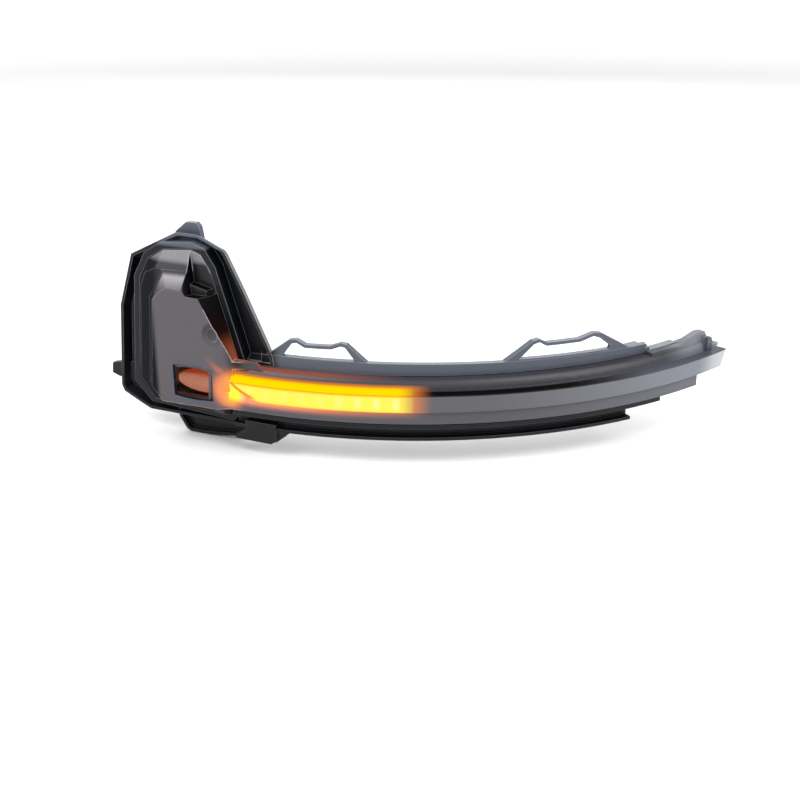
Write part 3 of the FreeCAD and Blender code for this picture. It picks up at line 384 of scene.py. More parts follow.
    @cached_property
    def place(self) -> Place:
        """Works out where a point lies, on the head or round the ring.

        Returns:
            The place.
        """
        across, back, up = self.node("ShaderNodeSeparateXYZ", None, self.coordinates).outputs
        inward = self.math("SUBTRACT", RING.front + RING.radius, back)
        mix = self.node("ShaderNodeMix", None, self.math("GREATER_THAN", across, 0.0))
        self.feed(mix.inputs[2], self.math("SUBTRACT", back, RING.front))
        self.feed(mix.inputs[3], self.math("SUBTRACT", RING.radius, self.length(across, inward)))
        return Place(*(self.product(metres, 1 / MM) for metres in (across, mix.outputs[0], up)),
                     self.product(self.math("ARCTAN2", across, inward), math.degrees(1.0)))

    def edges(self, radius: float) -> Socket:
        """Finds the sharp edges of a piece, where light catches a real one.

        Args:
            radius: How wide an edge is, in metres.

        Returns:
            Nearly nothing on a flat face, more towards an edge.
        """
        dot = self.vector_math("DOT_PRODUCT", self.rounded(radius, 6),
                               self.node("ShaderNodeNewGeometry").outputs["Normal"])
        return self.fade(self.rest(dot.outputs["Value"]), (0.01, 0.16))

    def facing_front(self) -> Socket:
        """Tells how squarely a face looks away from the ring axis and outwards.

        Returns:
            One for a face that looks straight out, less for a side.
        """
        outward = self.vector_math("SUBTRACT", self.coordinates, RING.axis)
        level = self.vector_math("MULTIPLY", outward.outputs[0], (1.0, 1.0, 0.0))
        unit = self.vector_math("NORMALIZE", level.outputs[0])
        dot = self.vector_math("DOT_PRODUCT", unit.outputs[0],
                               self.node("ShaderNodeNewGeometry").outputs["True Normal"])
        return dot.outputs["Value"]

    def distance(self, place: Triple) -> Socket:
        """Measures how far a point of the surface is from a place, in metres."""
        return self.vector_math("DISTANCE", self.coordinates, place).outputs["Value"]

    def mix_shaders(self, share: object, first: Socket, second: Socket) -> Socket:
        """Mixes two shaders by the share of the second."""
        return self.node("ShaderNodeMixShader", None, share, first, second).outputs[0]

    def close(self, shader: Socket) -> bpy.types.Material:
        """Joins the finished shader to the output and gives the material."""
        self.tree.links.new(shader, self.output.inputs["Surface"])
        return self.material


class Finish(Protocol):
    """What every finish has: a name and a way to make its material."""

    name: str

    def make(self) -> bpy.types.Material:
        """Builds the material."""


@dataclass(frozen=True)
class Moulded:
    """A moulded plastic or painted finish with a fine grain and rounded edges, and, where set,
    painted highlights on its edges and top faces, painted shade on its sides and painted light
    from the strip.
    """

    name: str
    colour: Colour
    rough: float = 0.45
    grain: Grain = Grain.FINE
    metal: float = 0.0
    edge: float = 0.25 * MM
    variation: float = 0.12
    shine: float = 0.0
    gloss: float = 0.5
    # Colours of painted light and shade, where set: a painted highlight on the top faces,
    # painted shade on the sides and painted light from the strip.
    above: Colour | None = None
    light_spill: Colour | None = None
    side_shade: Colour | None = None
    # Width and colour of the painted highlight on sharp edges.
    edge_width: float = 0.5 * MM
    edge_highlight: Colour = srgb(190, 194, 204)

    def make(self) -> bpy.types.Material:
        """Builds the material.

        Returns:
            The material.
        """
        bench = Bench(self.name)
        scale, strength = self.grain.value
        grain = bench.noise(scale, 2.0)
        cloud = bench.noise(60.0, 3.0)
        rough = bench.fade(cloud, (0.25, 0.75), (self.rough - 0.04, self.rough + 0.05))
        node = bench.shader(Base_Color=self.tone(bench, cloud), Roughness=rough,
                            Metallic=self.metal, Specular_IOR_Level=self.gloss,
                            Normal=bench.relief(grain, strength, self.edge))
        # Painted light: amber emission round the tip of the lit bar, where the strip's light
        # falls on the surface.
        if self.light_spill is not None:
            bench.feed(node.inputs["Emission Color"], self.light_spill)
            bench.feed(node.inputs["Emission Strength"], bench.fade(
                bench.distance(LIGHT_TIP), (2.0 * MM, 14.0 * MM), (0.9, 0.0)))
        return bench.close(node.outputs[0])

    def tone(self, bench: Bench, cloud: Socket) -> Socket:
        """Colours the finish, with a painted highlight on its top faces, painted shade on its
        sides and painted highlights on its sharp edges.

        Args:
            bench: The material's bench.
            cloud: The pattern of its slow variation.

        Returns:
            The colour's output.
        """
        dark = tuple(share * (1.0 - self.variation) for share in self.colour)
        light = tuple(min(1.0, share * (1.0 + self.variation)) for share in self.colour)
        tone = bench.blend(bench.fade(cloud, (0.3, 0.7)), dark, light)
        # Painted highlight on the upward faces of the flange and of the rim plate.
        if self.above is not None:
            tone = bench.blend(bench.highest(
                bench.where(height=(1.5, 3.0), across=(13.0, 18.0)),
                bench.where(height=(49.0, 50.5))), tone, self.above)
        # Painted shade on faces that turn sideways from the ring.
        if self.side_shade is not None:
            tone = bench.blend(bench.fade(bench.facing_front(), (0.8, 0.5)), tone, self.side_shade)
        # Painted highlight on sharp edges, weaker towards the back.
        if self.shine > 0.0:
            share = bench.product(
                bench.edges(self.edge_width),
                bench.fade(bench.place.height, (-12.0, 4.0), (0.2, 1.0)),
                bench.fade(bench.place.depth, (14.0, 22.0), (self.shine, self.shine * 0.2)))
            tone = bench.blend(share, tone, self.edge_highlight)
        return tone


class Lights(NamedTuple):
    """Shares of the lit parts of the lens."""

    bar: Socket
    band: Socket
    halo: Socket
    pool: Socket
    walls: Socket


@dataclass(frozen=True)
class SmokedLens:
    """The lens: smoked and satin, clear over the window, frosted where it glows, with painted
    light and shade in its colour part by part.

    Its places are in millimetres and its angles in degrees, as in Place.
    """

    name: str = "smoked_lens"
    rough: float = 0.38
    haze: float = 0.93
    edge_width: float = 0.7 * MM
    edge_round: float = 0.45 * MM
    window_middle: float = -17.4
    window_half: float = 9.2
    window_low: float = -10.25
    window_top: float = 2.8
    window_soft: float = 0.3
    bow_low: float = 0.7
    bow_top: float = 0.8
    frame_width: float = 1.1
    lit_end: Span = (26.0, 21.3)
    dot_pitch: float = 2.3
    pool_middle: Pair = (-0.6, -4.6)
    pool_reach: Pair = (10.2, 10.5)
    ray_start: Pair = (-3.0, 1.5)
    ray_slope: Pair = (0.64, 0.77)
    tip_middle: Pair = (17.7, 18.2)
    tip_outline: Span = (24.15, 25.70)
    dimple: Triple = (-6.8 * MM, -25.8 * MM, 17.8 * MM)

    def make(self) -> bpy.types.Material:
        """Builds the material.

        Returns:
            The material.
        """
        bench = Bench(self.name)
        front = bench.facing_front()
        faces_front = bench.fade(front, (0.55, 0.85))
        window = self.window(bench, 0.0)
        covered = bench.rest(window)
        bar, band, halo = self.lit_faces(bench, faces_front)
        lights = Lights(bar, band, halo, bench.product(self.pool(bench), covered),
                        self.warm_walls(bench, front))
        lit = bench.highest(bar, band)
        # Painted highlights on the head's edges over the painted light and shade of each part.
        tone = bench.blend(self.bright_edges(bench), self.painted_light_and_shade(bench, faces_front),
                           LensToneAndShading.BRIGHT_EDGE)
        tone = bench.blend(bench.highest(lit, bench.product(lights.pool, 0.9)), tone,
                           LensToneAndShading.UNDER_GLOW)
        glow, power = self.light(bench, lights, lit)
        milk = bench.shader(
            Base_Color=tone, Roughness=self.rough,
            Normal=bench.relief(bench.noise(1900.0, 2.0), 0.08, self.edge_round),
            Coat_Weight=bench.product(bench.math("SUBTRACT", faces_front, lit), 0.05),
            Specular_IOR_Level=bench.product(bench.rest(lit), self.gloss(bench, faces_front)),
            Emission_Color=glow, Emission_Strength=power)
        share = bench.highest(bench.product(covered, self.haze), lit)
        return bench.close(bench.mix_shaders(share, self.clear_skin(bench, window),
                                             milk.outputs[0]))

    def window(self, bench: Bench, margin: float) -> Socket:
        """Finds the window, whose top and bottom bow outwards.

        Args:
            bench: The material's bench.
            margin: Millimetres added all round.

        Returns:
            The share of the window.
        """
        across, height = bench.place.across, bench.place.height
        aside = bench.math("DIVIDE", bench.math("SUBTRACT", across, self.window_middle),
                           self.window_half)
        bow = bench.rest(bench.product(aside, aside))
        upper = bench.math("SUBTRACT", height, bench.product(bow, self.bow_top))
        lower = bench.math("ADD", height, bench.product(bow, self.bow_low))
        half, soft = self.window_half + margin, self.window_soft / 2
        top, low = self.window_top + margin, self.window_low - margin
        return bench.product(
            bench.fade(upper, (top + soft, top - soft)),
            bench.fade(lower, (low - soft, low + soft)),
            bench.between(across, (self.window_middle - half, self.window_middle + half),
                          self.window_soft))

    def pool(self, bench: Bench) -> Socket:
        """Finds the glow on the head beside the tip of the strip, with its slanted ray.

        Args:
            bench: The material's bench.

        Returns:
            The share of the glow.
        """
        across, height = bench.place.across, bench.place.height
        reach = bench.length(*(
            bench.math("DIVIDE", bench.math("SUBTRACT", value, middle), size)
            for value, middle, size in zip((across, height), self.pool_middle,
                                           self.pool_reach)))
        pool = bench.product(bench.fade(reach, (1.05, 0.3)), bench.where(height=(-13.6, -11.0)))
        right, up = (bench.math("SUBTRACT", value, start)
                     for value, start in zip((across, height), self.ray_start))
        rise, run = self.ray_slope
        along = bench.math("SUBTRACT", bench.product(up, rise), bench.product(right, run))
        off = bench.math("ADD", bench.product(right, rise), bench.product(up, run))
        ray = bench.product(bench.between(off, (-1.3, 1.3), 1.3),
                            bench.fade(along, (1.0, 12.0), (0.42, 0.0)),
                            bench.fade(along, (-3.0, 0.0)))
        return bench.highest(pool, ray)

    def warm_walls(self, bench: Bench, front: Socket) -> Socket:
        """Finds the walls above the strip that its light warms.

        Args:
            bench: The material's bench.
            front: How squarely a face looks outwards.

        Returns:
            The share of the warm light.
        """
        return bench.product(
            bench.where(height=(19.0, 4.0), across=(-16.0, -8.0), angle=(24.0, 3.0)),
            bench.where(height=(0.8, 3.4)), bench.fade(front, (0.9, 0.5)))

    def outline(self, bench: Bench) -> Socket:
        """Finds the thick edge of the lens along the curved tip of the strip.

        Args:
            bench: The material's bench.

        Returns:
            The share of the outline.
        """
        reach = bench.length(*(
            bench.math("SUBTRACT", value, middle) for value, middle in zip(
                (bench.place.across, bench.place.height), self.tip_middle)))
        return bench.product(bench.between(reach, self.tip_outline, 0.25),
                             bench.where(height=(0.1, -0.5)),
                             bench.fade(bench.place.across, (13.0, 9.0), (0.0, 0.85)))

    def bright_edges(self, bench: Bench) -> Socket:
        """Finds the edges of the head that catch the light.

        Args:
            bench: The material's bench.

        Returns:
            The share of the light on them, little inside the hollow beside the ramp.
        """
        across, height = bench.place.across, bench.place.height
        hollow = bench.product(bench.between(across, (-20.5, -6.5), 1.5),
                               bench.between(height, (28.0, 40.5), 1.5))
        return bench.product(bench.edges(self.edge_width), bench.where(across=(6.0, 2.0)),
                             bench.fade(across, (-40.0, -26.0), (0.35, 0.85)),
                             bench.fade(hollow, (0.0, 1.0), (1.0, 0.14)))

    def clear_skin(self, bench: Bench, window: Socket) -> Socket:
        """Makes the see-through part of the lens.

        Args:
            bench: The material's bench.
            window: Share of the clear window.

        Returns:
            The shader's output.
        """
        clear = bench.node("ShaderNodeBsdfTransparent")
        bench.feed(clear.inputs["Color"], bench.blend(window, LensToneAndShading.SMOKE, LensToneAndShading.CLEAR))
        mirror = bench.node("ShaderNodeBsdfGlossy")
        mirror.inputs["Roughness"].default_value = 0.2
        bench.feed(mirror.inputs["Color"], LensToneAndShading.MIRROR)
        fresnel = bench.node("ShaderNodeFresnel")
        fresnel.inputs["IOR"].default_value = 1.35
        return bench.mix_shaders(fresnel.outputs[0], clear.outputs[0], mirror.outputs[0])

    def gloss(self, bench: Bench, faces_front: Socket) -> Socket:
        """Sets how strongly each part mirrors the room.

        Args:
            bench: The material's bench.
            faces_front: Share of the faces that look outwards.

        Returns:
            The specular level's output.
        """
        level = bench.math("ADD", 0.04, bench.product(faces_front, 0.26))
        return bench.product(level, bench.fade(bench.place.across, (-36.0, -33.0), (0.2, 1.0)))

    def lit_faces(self, bench: Bench, faces_front: Socket) -> tuple[Socket, Socket, Socket]:
        """Finds the lit faces of the strip.

        Args:
            bench: The material's bench.
            faces_front: Share of the faces that look outwards.

        Returns:
            Shares of the main face, of the band above it and of the halo below it.
        """
        depth = bench.place.depth
        strip = bench.where(across=(-1.5, -0.5), angle=self.lit_end)
        bar = bench.product(strip, bench.where(depth=(0.9, 0.5)), faces_front)
        band = bench.product(strip, bench.between(depth, (0.2, 5.6), 0.3),
                             bench.where(height=(-0.4, -0.15)), bench.where(height=(3.2, 0.8)))
        halo = bench.product(strip, bench.between(depth, (0.7, 2.6), 0.4),
                             bench.where(height=(0.2, -0.8)), bench.where(height=(-11.0, -6.8)))
        return bar, band, halo

    def light(self, bench: Bench, lights: Lights, lit: Socket) -> tuple[Socket, Socket]:
        """Colours the glow.

        Args:
            bench: The material's bench.
            lights: Shares of the lit parts.
            lit: Share of the lit faces of the strip.

        Returns:
            The light's colour and its strength.
        """
        height, angle = bench.place.height, bench.place.angle
        bar = bench.blend(bench.between(height, (-6.9, -0.6), 1.4), Glow.BAR_RIM, Glow.BAR)
        wave = bench.math("SINE", bench.product(angle, TURN / self.dot_pitch))
        dots = bench.product(bench.fade(wave, (-0.2, 1.0)), bench.fade(
            angle, (9.0, 20.0), (0.25, 1.0)), bench.between(height, (-5.6, -1.4), 2.0))
        bar = bench.blend(dots, bar, Glow.BAR_DOT)
        pool = bench.blend(bench.fade(lights.pool, (0.15, 0.6)), Glow.POOL_RIM, Glow.POOL)
        heart = bench.product(bench.fade(lights.pool, (0.5, 1.0)),
                              bench.where(across=(-4.5, 1.5)))
        pool = bench.blend(heart, pool, Glow.POOL_HEART)
        glow = bench.blend(lights.walls, Glow.HALO, Glow.WALLS)
        glow = bench.blend(bench.fade(lights.pool, (0.02, 0.2)), glow, pool)
        glow = bench.blend(lights.band, glow, bench.paint(Glow.BAND, Glow.BAND_TOP,
                                                          height=(0.0, 2.6)))
        glow = bench.blend(lights.bar, glow, bar)
        glow = bench.blend(bench.between(lit, (0.05, 0.6), 0.2), glow, Glow.BORDER)
        glow = bench.blend(bench.product(self.outline(bench), lit), glow, Glow.OUTLINE)
        halo = bench.product(bench.math("POWER", lights.halo, 1.2),
                             bench.fade(angle, (5.0, 22.0), (1.9, 0.65)))
        power = bench.highest(
            0.0, bench.product(lights.bar, 0.98), bench.product(lights.band, 0.95), halo,
            bench.product(lights.pool, 0.95), bench.product(lights.walls, 0.7))
        return glow, power

    def painted_light_and_shade(self, bench: Bench, faces_front: Socket) -> Socket:
        """Paints light and shade into the lens's colour, part by part: painted highlights,
        painted shade and painted reflections over its satin tone.

        Args:
            bench: The material's bench.
            faces_front: Share of the faces that look outwards.

        Returns:
            The colour's output.
        """
        # Painted highlight on the ramp, which faces up into the light.
        head = bench.paint(LensToneAndShading.SATIN, LensToneAndShading.RAMP_HIGHLIGHT, height=(33.0, 41.0))
        # Painted shade in the dish of the dimple.
        dimple = bench.product(
            bench.fade(bench.distance(self.dimple), (5.3 * MM, 4.4 * MM)),
            bench.fade(bench.place.height, (13.0, 20.0), (0.2, 1.0)))
        head = bench.blend(dimple, head, LensToneAndShading.DIMPLE_SHADE)
        head = bench.blend(self.window(bench, self.frame_width), head, LensToneAndShading.FRAME)
        # Painted highlight along the crown of the head.
        head = bench.paint(head, LensToneAndShading.CROWN_HIGHLIGHT, height=(43.0, 46.0))
        pad = bench.paint(LensToneAndShading.PAD_FOOT, LensToneAndShading.PAD_TOP, height=(0.0, 30.0))
        head = bench.paint(head, pad, across=(-33.0, -35.5), height=(40.0, 35.0))
        head = bench.paint(head, LensToneAndShading.OUTER, depth=(3.4, 4.6), height=(46.0, 43.0))
        # Painted shade on the side walls of the head: black towards the top, dark brown near the
        # strip, warmed by painted amber light.
        walls = bench.paint(LensToneAndShading.WALL_FOOT, LensToneAndShading.WALL_TOP, height=(8.0, 30.0))
        head = bench.blend(faces_front, walls, head)
        # Painted highlights: the strip's front and lower faces grow lighter further round the
        # ring, most at its far end.
        face = bench.paint(LensToneAndShading.FACE, LensToneAndShading.FACE_FAR_HIGHLIGHT, angle=(28.0, 64.0))
        face = bench.paint(face, LensToneAndShading.FACE_END_HIGHLIGHT, angle=(63.0, 68.0))
        below = bench.paint(LensToneAndShading.BELOW, LensToneAndShading.BELOW_FAR_HIGHLIGHT, angle=(30.0, 60.0))
        face = bench.paint(face, below, depth=(0.7, 1.2))
        # Painted shade on the top wall of the strip, lifting further round the ring, with a
        # painted reflection on the ridge behind it.
        shade = bench.paint(LensToneAndShading.SHADE, LensToneAndShading.SHADE_FAR, angle=(42.0, 58.0))
        ridge = bench.paint(LensToneAndShading.RIDGE, LensToneAndShading.RIDGE_FAR_HIGHLIGHT, angle=(58.0, 64.0))
        top = bench.paint(shade, ridge, depth=(4.0, 5.8))
        strip = bench.paint(face, top, height=(-0.6, -0.2))
        return bench.paint(head, strip, across=(-4.0, 2.0))


@dataclass(frozen=True)
class LitPlastic:
    """A light guide that glows amber up to an angle, deeper in colour at its rim."""

    name: str
    dim: Colour
    lit: Colour
    strength: float
    lit_end: float = 90.0
    rim: Colour | None = None

    def make(self) -> bpy.types.Material:
        """Builds the material.

        Returns:
            The material.
        """
        bench = Bench(self.name)
        cloud = bench.noise(400.0, 2.0, (1, 1, 4))
        power = bench.product(
            bench.where(angle=(self.lit_end + 3.0, self.lit_end - 2.0)),
            bench.fade(cloud, (0.2, 0.8), (self.strength * 0.8, self.strength)))
        lit: object = self.lit
        # The middle takes the lit colour and the sides the rim colour; in the window guide the
        # pale middle is a painted reflection.
        if self.rim is not None:
            lit = bench.blend(bench.fade(bench.facing_front(), (0.92, 0.45)), lit, self.rim)
        node = bench.shader(
            Base_Color=self.dim, Roughness=0.18, Emission_Color=lit,
            Emission_Strength=power, Normal=bench.relief(cloud, 0.05, 0.2 * MM))
        return bench.close(node.outputs[0])


@dataclass(frozen=True)
class CircuitBoard:
    """A solder mask over copper, with the tracks just showing through."""

    name: str
    mask: Colour
    copper: Colour
    tracks: float = 260.0
    track_width: float = 0.06
    track_share: float = 0.6

    def make(self) -> bpy.types.Material:
        """Builds the material.

        Returns:
            The material.
        """
        bench = Bench(self.name)
        mapping = bench.node("ShaderNodeMapping")
        mapping.inputs["Rotation"].default_value = (math.pi / 2, 0.0, 0.0)
        bench.feed(mapping.inputs["Vector"], bench.coordinates)
        brick = bench.node("ShaderNodeTexBrick")
        brick.inputs["Scale"].default_value = self.tracks
        brick.inputs["Mortar Size"].default_value = self.track_width
        bench.feed(brick.inputs["Vector"], mapping.outputs[0])
        tracks = brick.outputs["Fac"]
        colour = bench.blend(bench.product(tracks, self.track_share), self.mask, self.copper)
        node = bench.shader(Base_Color=colour, Roughness=0.28, Coat_Weight=0.3,
                            Normal=bench.relief(tracks, 0.15))
        return bench.close(node.outputs[0])


FINISHES: dict[str, Finish] = {finish.name: finish for finish in (
    SmokedLens(),
    # The bezel carries painted amber light round the tip of the lit bar.
    Moulded("satin_bezel", srgb(110, 107, 112), 0.40, Grain.SPARK, 0.5,
            light_spill=srgb(255, 150, 20)),
    # The window frame's sides get warm painted shade.
    Moulded("window_frame", srgb(160, 164, 178), 0.30, Grain.SMOOTH, 0.0,
            side_shade=srgb(38, 20, 14)),
    # The housing gets painted highlights on its edges and on the tops of its flange and rim
    # plate.
    Moulded("black_housing", srgb(9, 11, 15), 0.36, shine=0.42, gloss=0.26,
            above=srgb(82, 87, 98)),
    Moulded("seal", srgb(18, 18, 20), 0.65, Grain.FINE, 0.0, 0.0),
    LitPlastic("amber_guide", srgb(150, 110, 60), srgb(255, 150, 20), 1.2, 22.0),
    # The window guide glows deep orange at its sides; its pale pink middle is a painted
    # reflection inside the bullet.
    LitPlastic("window_guide", srgb(60, 22, 10), srgb(212, 142, 116), 1.08,
               rim=srgb(172, 60, 10)),
    Moulded("diffuser", srgb(228, 224, 214), 0.5, Grain.SMOOTH, 0.0, 0.0, 0.03),
    Moulded("led_package", srgb(240, 214, 110), 0.3, Grain.SMOOTH, 0.0, 0.0),
    CircuitBoard("white_board", srgb(226, 226, 222), srgb(196, 190, 176)),
    Moulded("carrier", srgb(182, 184, 188), 0.38, Grain.FINE, 1.0),
    CircuitBoard("green_board", srgb(22, 92, 56), srgb(40, 122, 70)),
    Moulded("black_component", srgb(30, 30, 33), 0.5, Grain.FINE),
    Moulded("ceramic_component", srgb(150, 118, 84), 0.42, Grain.SMOOTH),
    Moulded("screw_steel", srgb(190, 190, 192), 0.26, Grain.SMOOTH, 1.0),
    Moulded("ribbon", srgb(206, 124, 46), 0.35, Grain.SMOOTH),
    Moulded("tinned_contact", srgb(200, 198, 188), 0.24, Grain.SMOOTH, 1.0),
    Moulded("membrane", srgb(224, 224, 220), 0.7, Grain.SPARK, 0.0, 0.0, 0.04))}


def link(name: str, data: bpy.types.ID) -> bpy.types.Object:
    """Puts new data into the scene.

    Args:
        name: Name of the object.
        data: Its mesh, light or camera.

    Returns:
        The object.
    """
    thing = bpy.data.objects.new(name, data)
    bpy.context.scene.collection.objects.link(thing)
    return thing


def faces_of(mesh: bmesh.types.BMesh, made: dict[str, list]) -> list[bmesh.types.BMFace]:
    """Finds the faces of the shape that an operator has just made."""
    verts = set(made["verts"])
    return [face for face in mesh.faces if verts.issuperset(face.verts)]


def spin_wire(mesh: bmesh.types.BMesh, centre: Vector, radius: float, wire: float,
              corners: int, steps: int) -> None:
    """Spins a round wire into a ring that lies upright, facing the back.

    Args:
        mesh: The mesh that it joins.
        centre: The ring's centre.
        radius: The ring's radius.
        wire: The wire's radius.
        corners: Corners round the wire.
        steps: Steps round the ring.
    """
    made = bmesh.ops.create_circle(
        mesh, cap_ends=False, segments=corners, radius=wire,
        matrix=Matrix.Translation(centre + Vector((radius, 0.0, 0.0))))
    loop = {edge for vert in made["verts"] for edge in vert.link_edges}
    bmesh.ops.spin(mesh, geom=[*made["verts"], *loop], cent=centre, axis=(0.0, 1.0, 0.0),
                   angle=TURN, steps=steps, use_merge=True)


class Wardrobe:
    """Makes each finish once and gives it to the pieces that share it."""

    def __init__(self) -> None:
        """Starts with no finish made."""
        self.made: dict[str, bpy.types.Material] = {}

    def finish(self, name: str) -> bpy.types.Material:
        """Gives a finish by name.

        Args:
            name: Name of the finish.

        Returns:
            Its material.
        """
        if name not in self.made:
            self.made[name] = FINISHES[name].make()
        return self.made[name]

    def dress(self, piece: bpy.types.Object, name: str) -> None:
        """Gives a piece one finish all over.

        Args:
            piece: The piece.
            name: Name of the finish.
        """
        if not piece.material_slots:
            piece.data.materials.append(None)
        for slot in piece.material_slots:
            slot.material = self.finish(name)


@dataclass
class Assembly:
    """What every sub-assembly shares: its wardrobe and the pieces that it has made."""

    wardrobe: Wardrobe
    pieces: list[bpy.types.Object] = field(default_factory=list)

    def keep(self, mesh: bmesh.types.BMesh, name: str, finish: str, slot: str,
             smooth: bool = True) -> None:
        """Turns a finished mesh into a piece of the lamp.

        Args:
            mesh: The mesh, in metres in the lamp's frame.
            name: Name of the piece.
            finish: Name of its finish.
            slot: Not used.
            smooth: Whether its faces are shaded smoothly.
        """
        bmesh.ops.recalc_face_normals(mesh, faces=mesh.faces)
        data = bpy.data.meshes.new(name)
        mesh.to_mesh(data)
        mesh.free()
        if smooth:
            data.shade_smooth()
            data.set_sharp_from_angle(angle=SHARP_EDGE)
        piece = link(name, data)
        self.wardrobe.dress(piece, finish)
        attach(piece, "root")
        self.pieces.append(piece)

    def dress_nodes(self, **finishes: str) -> None:
        """Gives carried-over solids their finishes, named by the solids' names."""
        for node, finish in finishes.items():
            self.wardrobe.dress(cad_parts[node], finish)


@dataclass
class LensCap(Assembly):
    """The smoked lens and the black bead that seals it."""

    def build(self) -> None:
        """Dresses the lens and its seal."""
        self.dress_nodes(outer_lens="smoked_lens", lens_seal="seal")


@dataclass
class Reflector(Assembly):
    """The satin bezel with its window frame and the bullet-shaped guide behind it."""

    def build(self) -> None:
        """Dresses the bezel, the frame and the window's light."""
        self.dress_nodes(inner_bezel="satin_bezel", window_frame="window_frame",
                         window_light_guide="window_guide", window_led="led_package")


@dataclass
class LightStrip(Assembly):
    """The lit bar of the strip and what stands behind it."""

    first_angle: float = 4.0
    pitch: float = 4.6
    count: int = 12
    face_depth: float = 8.1 * MM
    height: float = -3.5 * MM
    dome_radius: float = 1.0 * MM
    dome_flatness: float = 0.22

    def build(self) -> None:
        """Dresses the bar, the film, the light sources, their board and its carrier."""
        self.dress_nodes(strip_light_guide="amber_guide", diffuser_film="diffuser",
                         strip_leds="led_package", led_strip_board="white_board",
                         led_carrier="carrier")
        self.light_domes()

    def light_domes(self) -> None:
        """Makes the flat yellow dome on each light source."""
        mesh = bmesh.new()
        for number in range(self.count):
            angle = self.first_angle + self.pitch * number
            place = Matrix.Translation(RING.point(angle, self.face_depth, self.height))
            turned = place @ Matrix.Rotation(math.radians(angle), 4, "Z")
            flat = turned @ Matrix.Diagonal((1.0, self.dome_flatness, 1.0, 1.0))
            bmesh.ops.create_uvsphere(mesh, u_segments=16, v_segments=8,
                                      radius=self.dome_radius, matrix=flat)
        self.keep(mesh, "light_domes", "led_package", "led_package")


@dataclass
class Housing(Assembly):
    """The black tray, tub and channel with every fixing point."""

    tub_back: float = 0.8 * MM
    marks: tuple[Pair, ...] = ((-0.020, -0.004), (-0.036, 0.024), (-0.020, 0.030))
    mark_radius: float = 2.0 * MM
    mark_height: float = 0.15 * MM
    mark_rim: float = 0.3 * MM
    mark_sink: float = 0.06 * MM
    vent: Vector = field(default_factory=lambda: Vector((-28.0, 1.0, 33.0)) * MM)
    vent_radius: float = 4.35 * MM
    vent_bead: float = 0.45 * MM
    latch: Vector = field(default_factory=lambda: Vector((-28.0, 8.4, 14.0)) * MM)
    latch_size: Vector = field(default_factory=lambda: Vector((5.0, 3.4, 1.1)) * MM)
    latch_slope: float = 0.8
    latch_round: float = 0.12 * MM

    def build(self) -> None:
        """Dresses the housing and adds what the mould and the fitter leave on its back."""
        self.dress_nodes(rear_housing="black_housing", contact_pins="tinned_contact",
                         vent_membrane="membrane")
        self.mould_marks()
        self.vent_rim()
        self.plug_latch()

    def mould_marks(self) -> None:
        """Makes the shallow discs on the tub's back."""
        mesh = bmesh.new()
        for across, up in self.marks:
            place = Matrix.Translation((across, self.tub_back + self.mark_height / 2, up))
            made = bmesh.ops.create_cone(
                mesh, cap_ends=True, segments=32, radius1=self.mark_radius,
                radius2=self.mark_radius, depth=self.mark_height,
                matrix=place @ Matrix.Rotation(-math.pi / 2, 4, "X"))
            caps = [face for face in faces_of(mesh, made) if len(face.verts) > 4]
            bmesh.ops.inset_individual(mesh, faces=caps, thickness=self.mark_rim,
                                       depth=-self.mark_sink)
        self.keep(mesh, "mould_marks", "black_housing", "black_housing")

    def vent_rim(self) -> None:
        """Spins the low rim that guards the vent membrane."""
        mesh = bmesh.new()
        spin_wire(mesh, self.vent, self.vent_radius, self.vent_bead, corners=10, steps=48)
        self.keep(mesh, "vent_rim", "black_housing", "black_housing")

    def plug_latch(self) -> None:
        """Makes the ramp on the connector's shroud that a plug clips over."""
        mesh = bmesh.new()
        shape = Matrix.Translation(self.latch) @ Matrix.Diagonal((*self.latch_size, 1.0))
        bmesh.ops.create_cube(mesh, size=1.0, matrix=shape)
        back_top = [vert for vert in mesh.verts
                    if vert.co.y > self.latch.y and vert.co.z > self.latch.z]
        bmesh.ops.translate(mesh, verts=back_top,
                            vec=(0.0, 0.0, -self.latch_size.z * self.latch_slope))
        bmesh.ops.bevel(mesh, geom=list(mesh.edges), offset=self.latch_round, segments=2,
                        affect="EDGES", profile=0.5, material=-1)
        self.keep(mesh, "plug_latch", "black_housing", "black_housing", smooth=False)


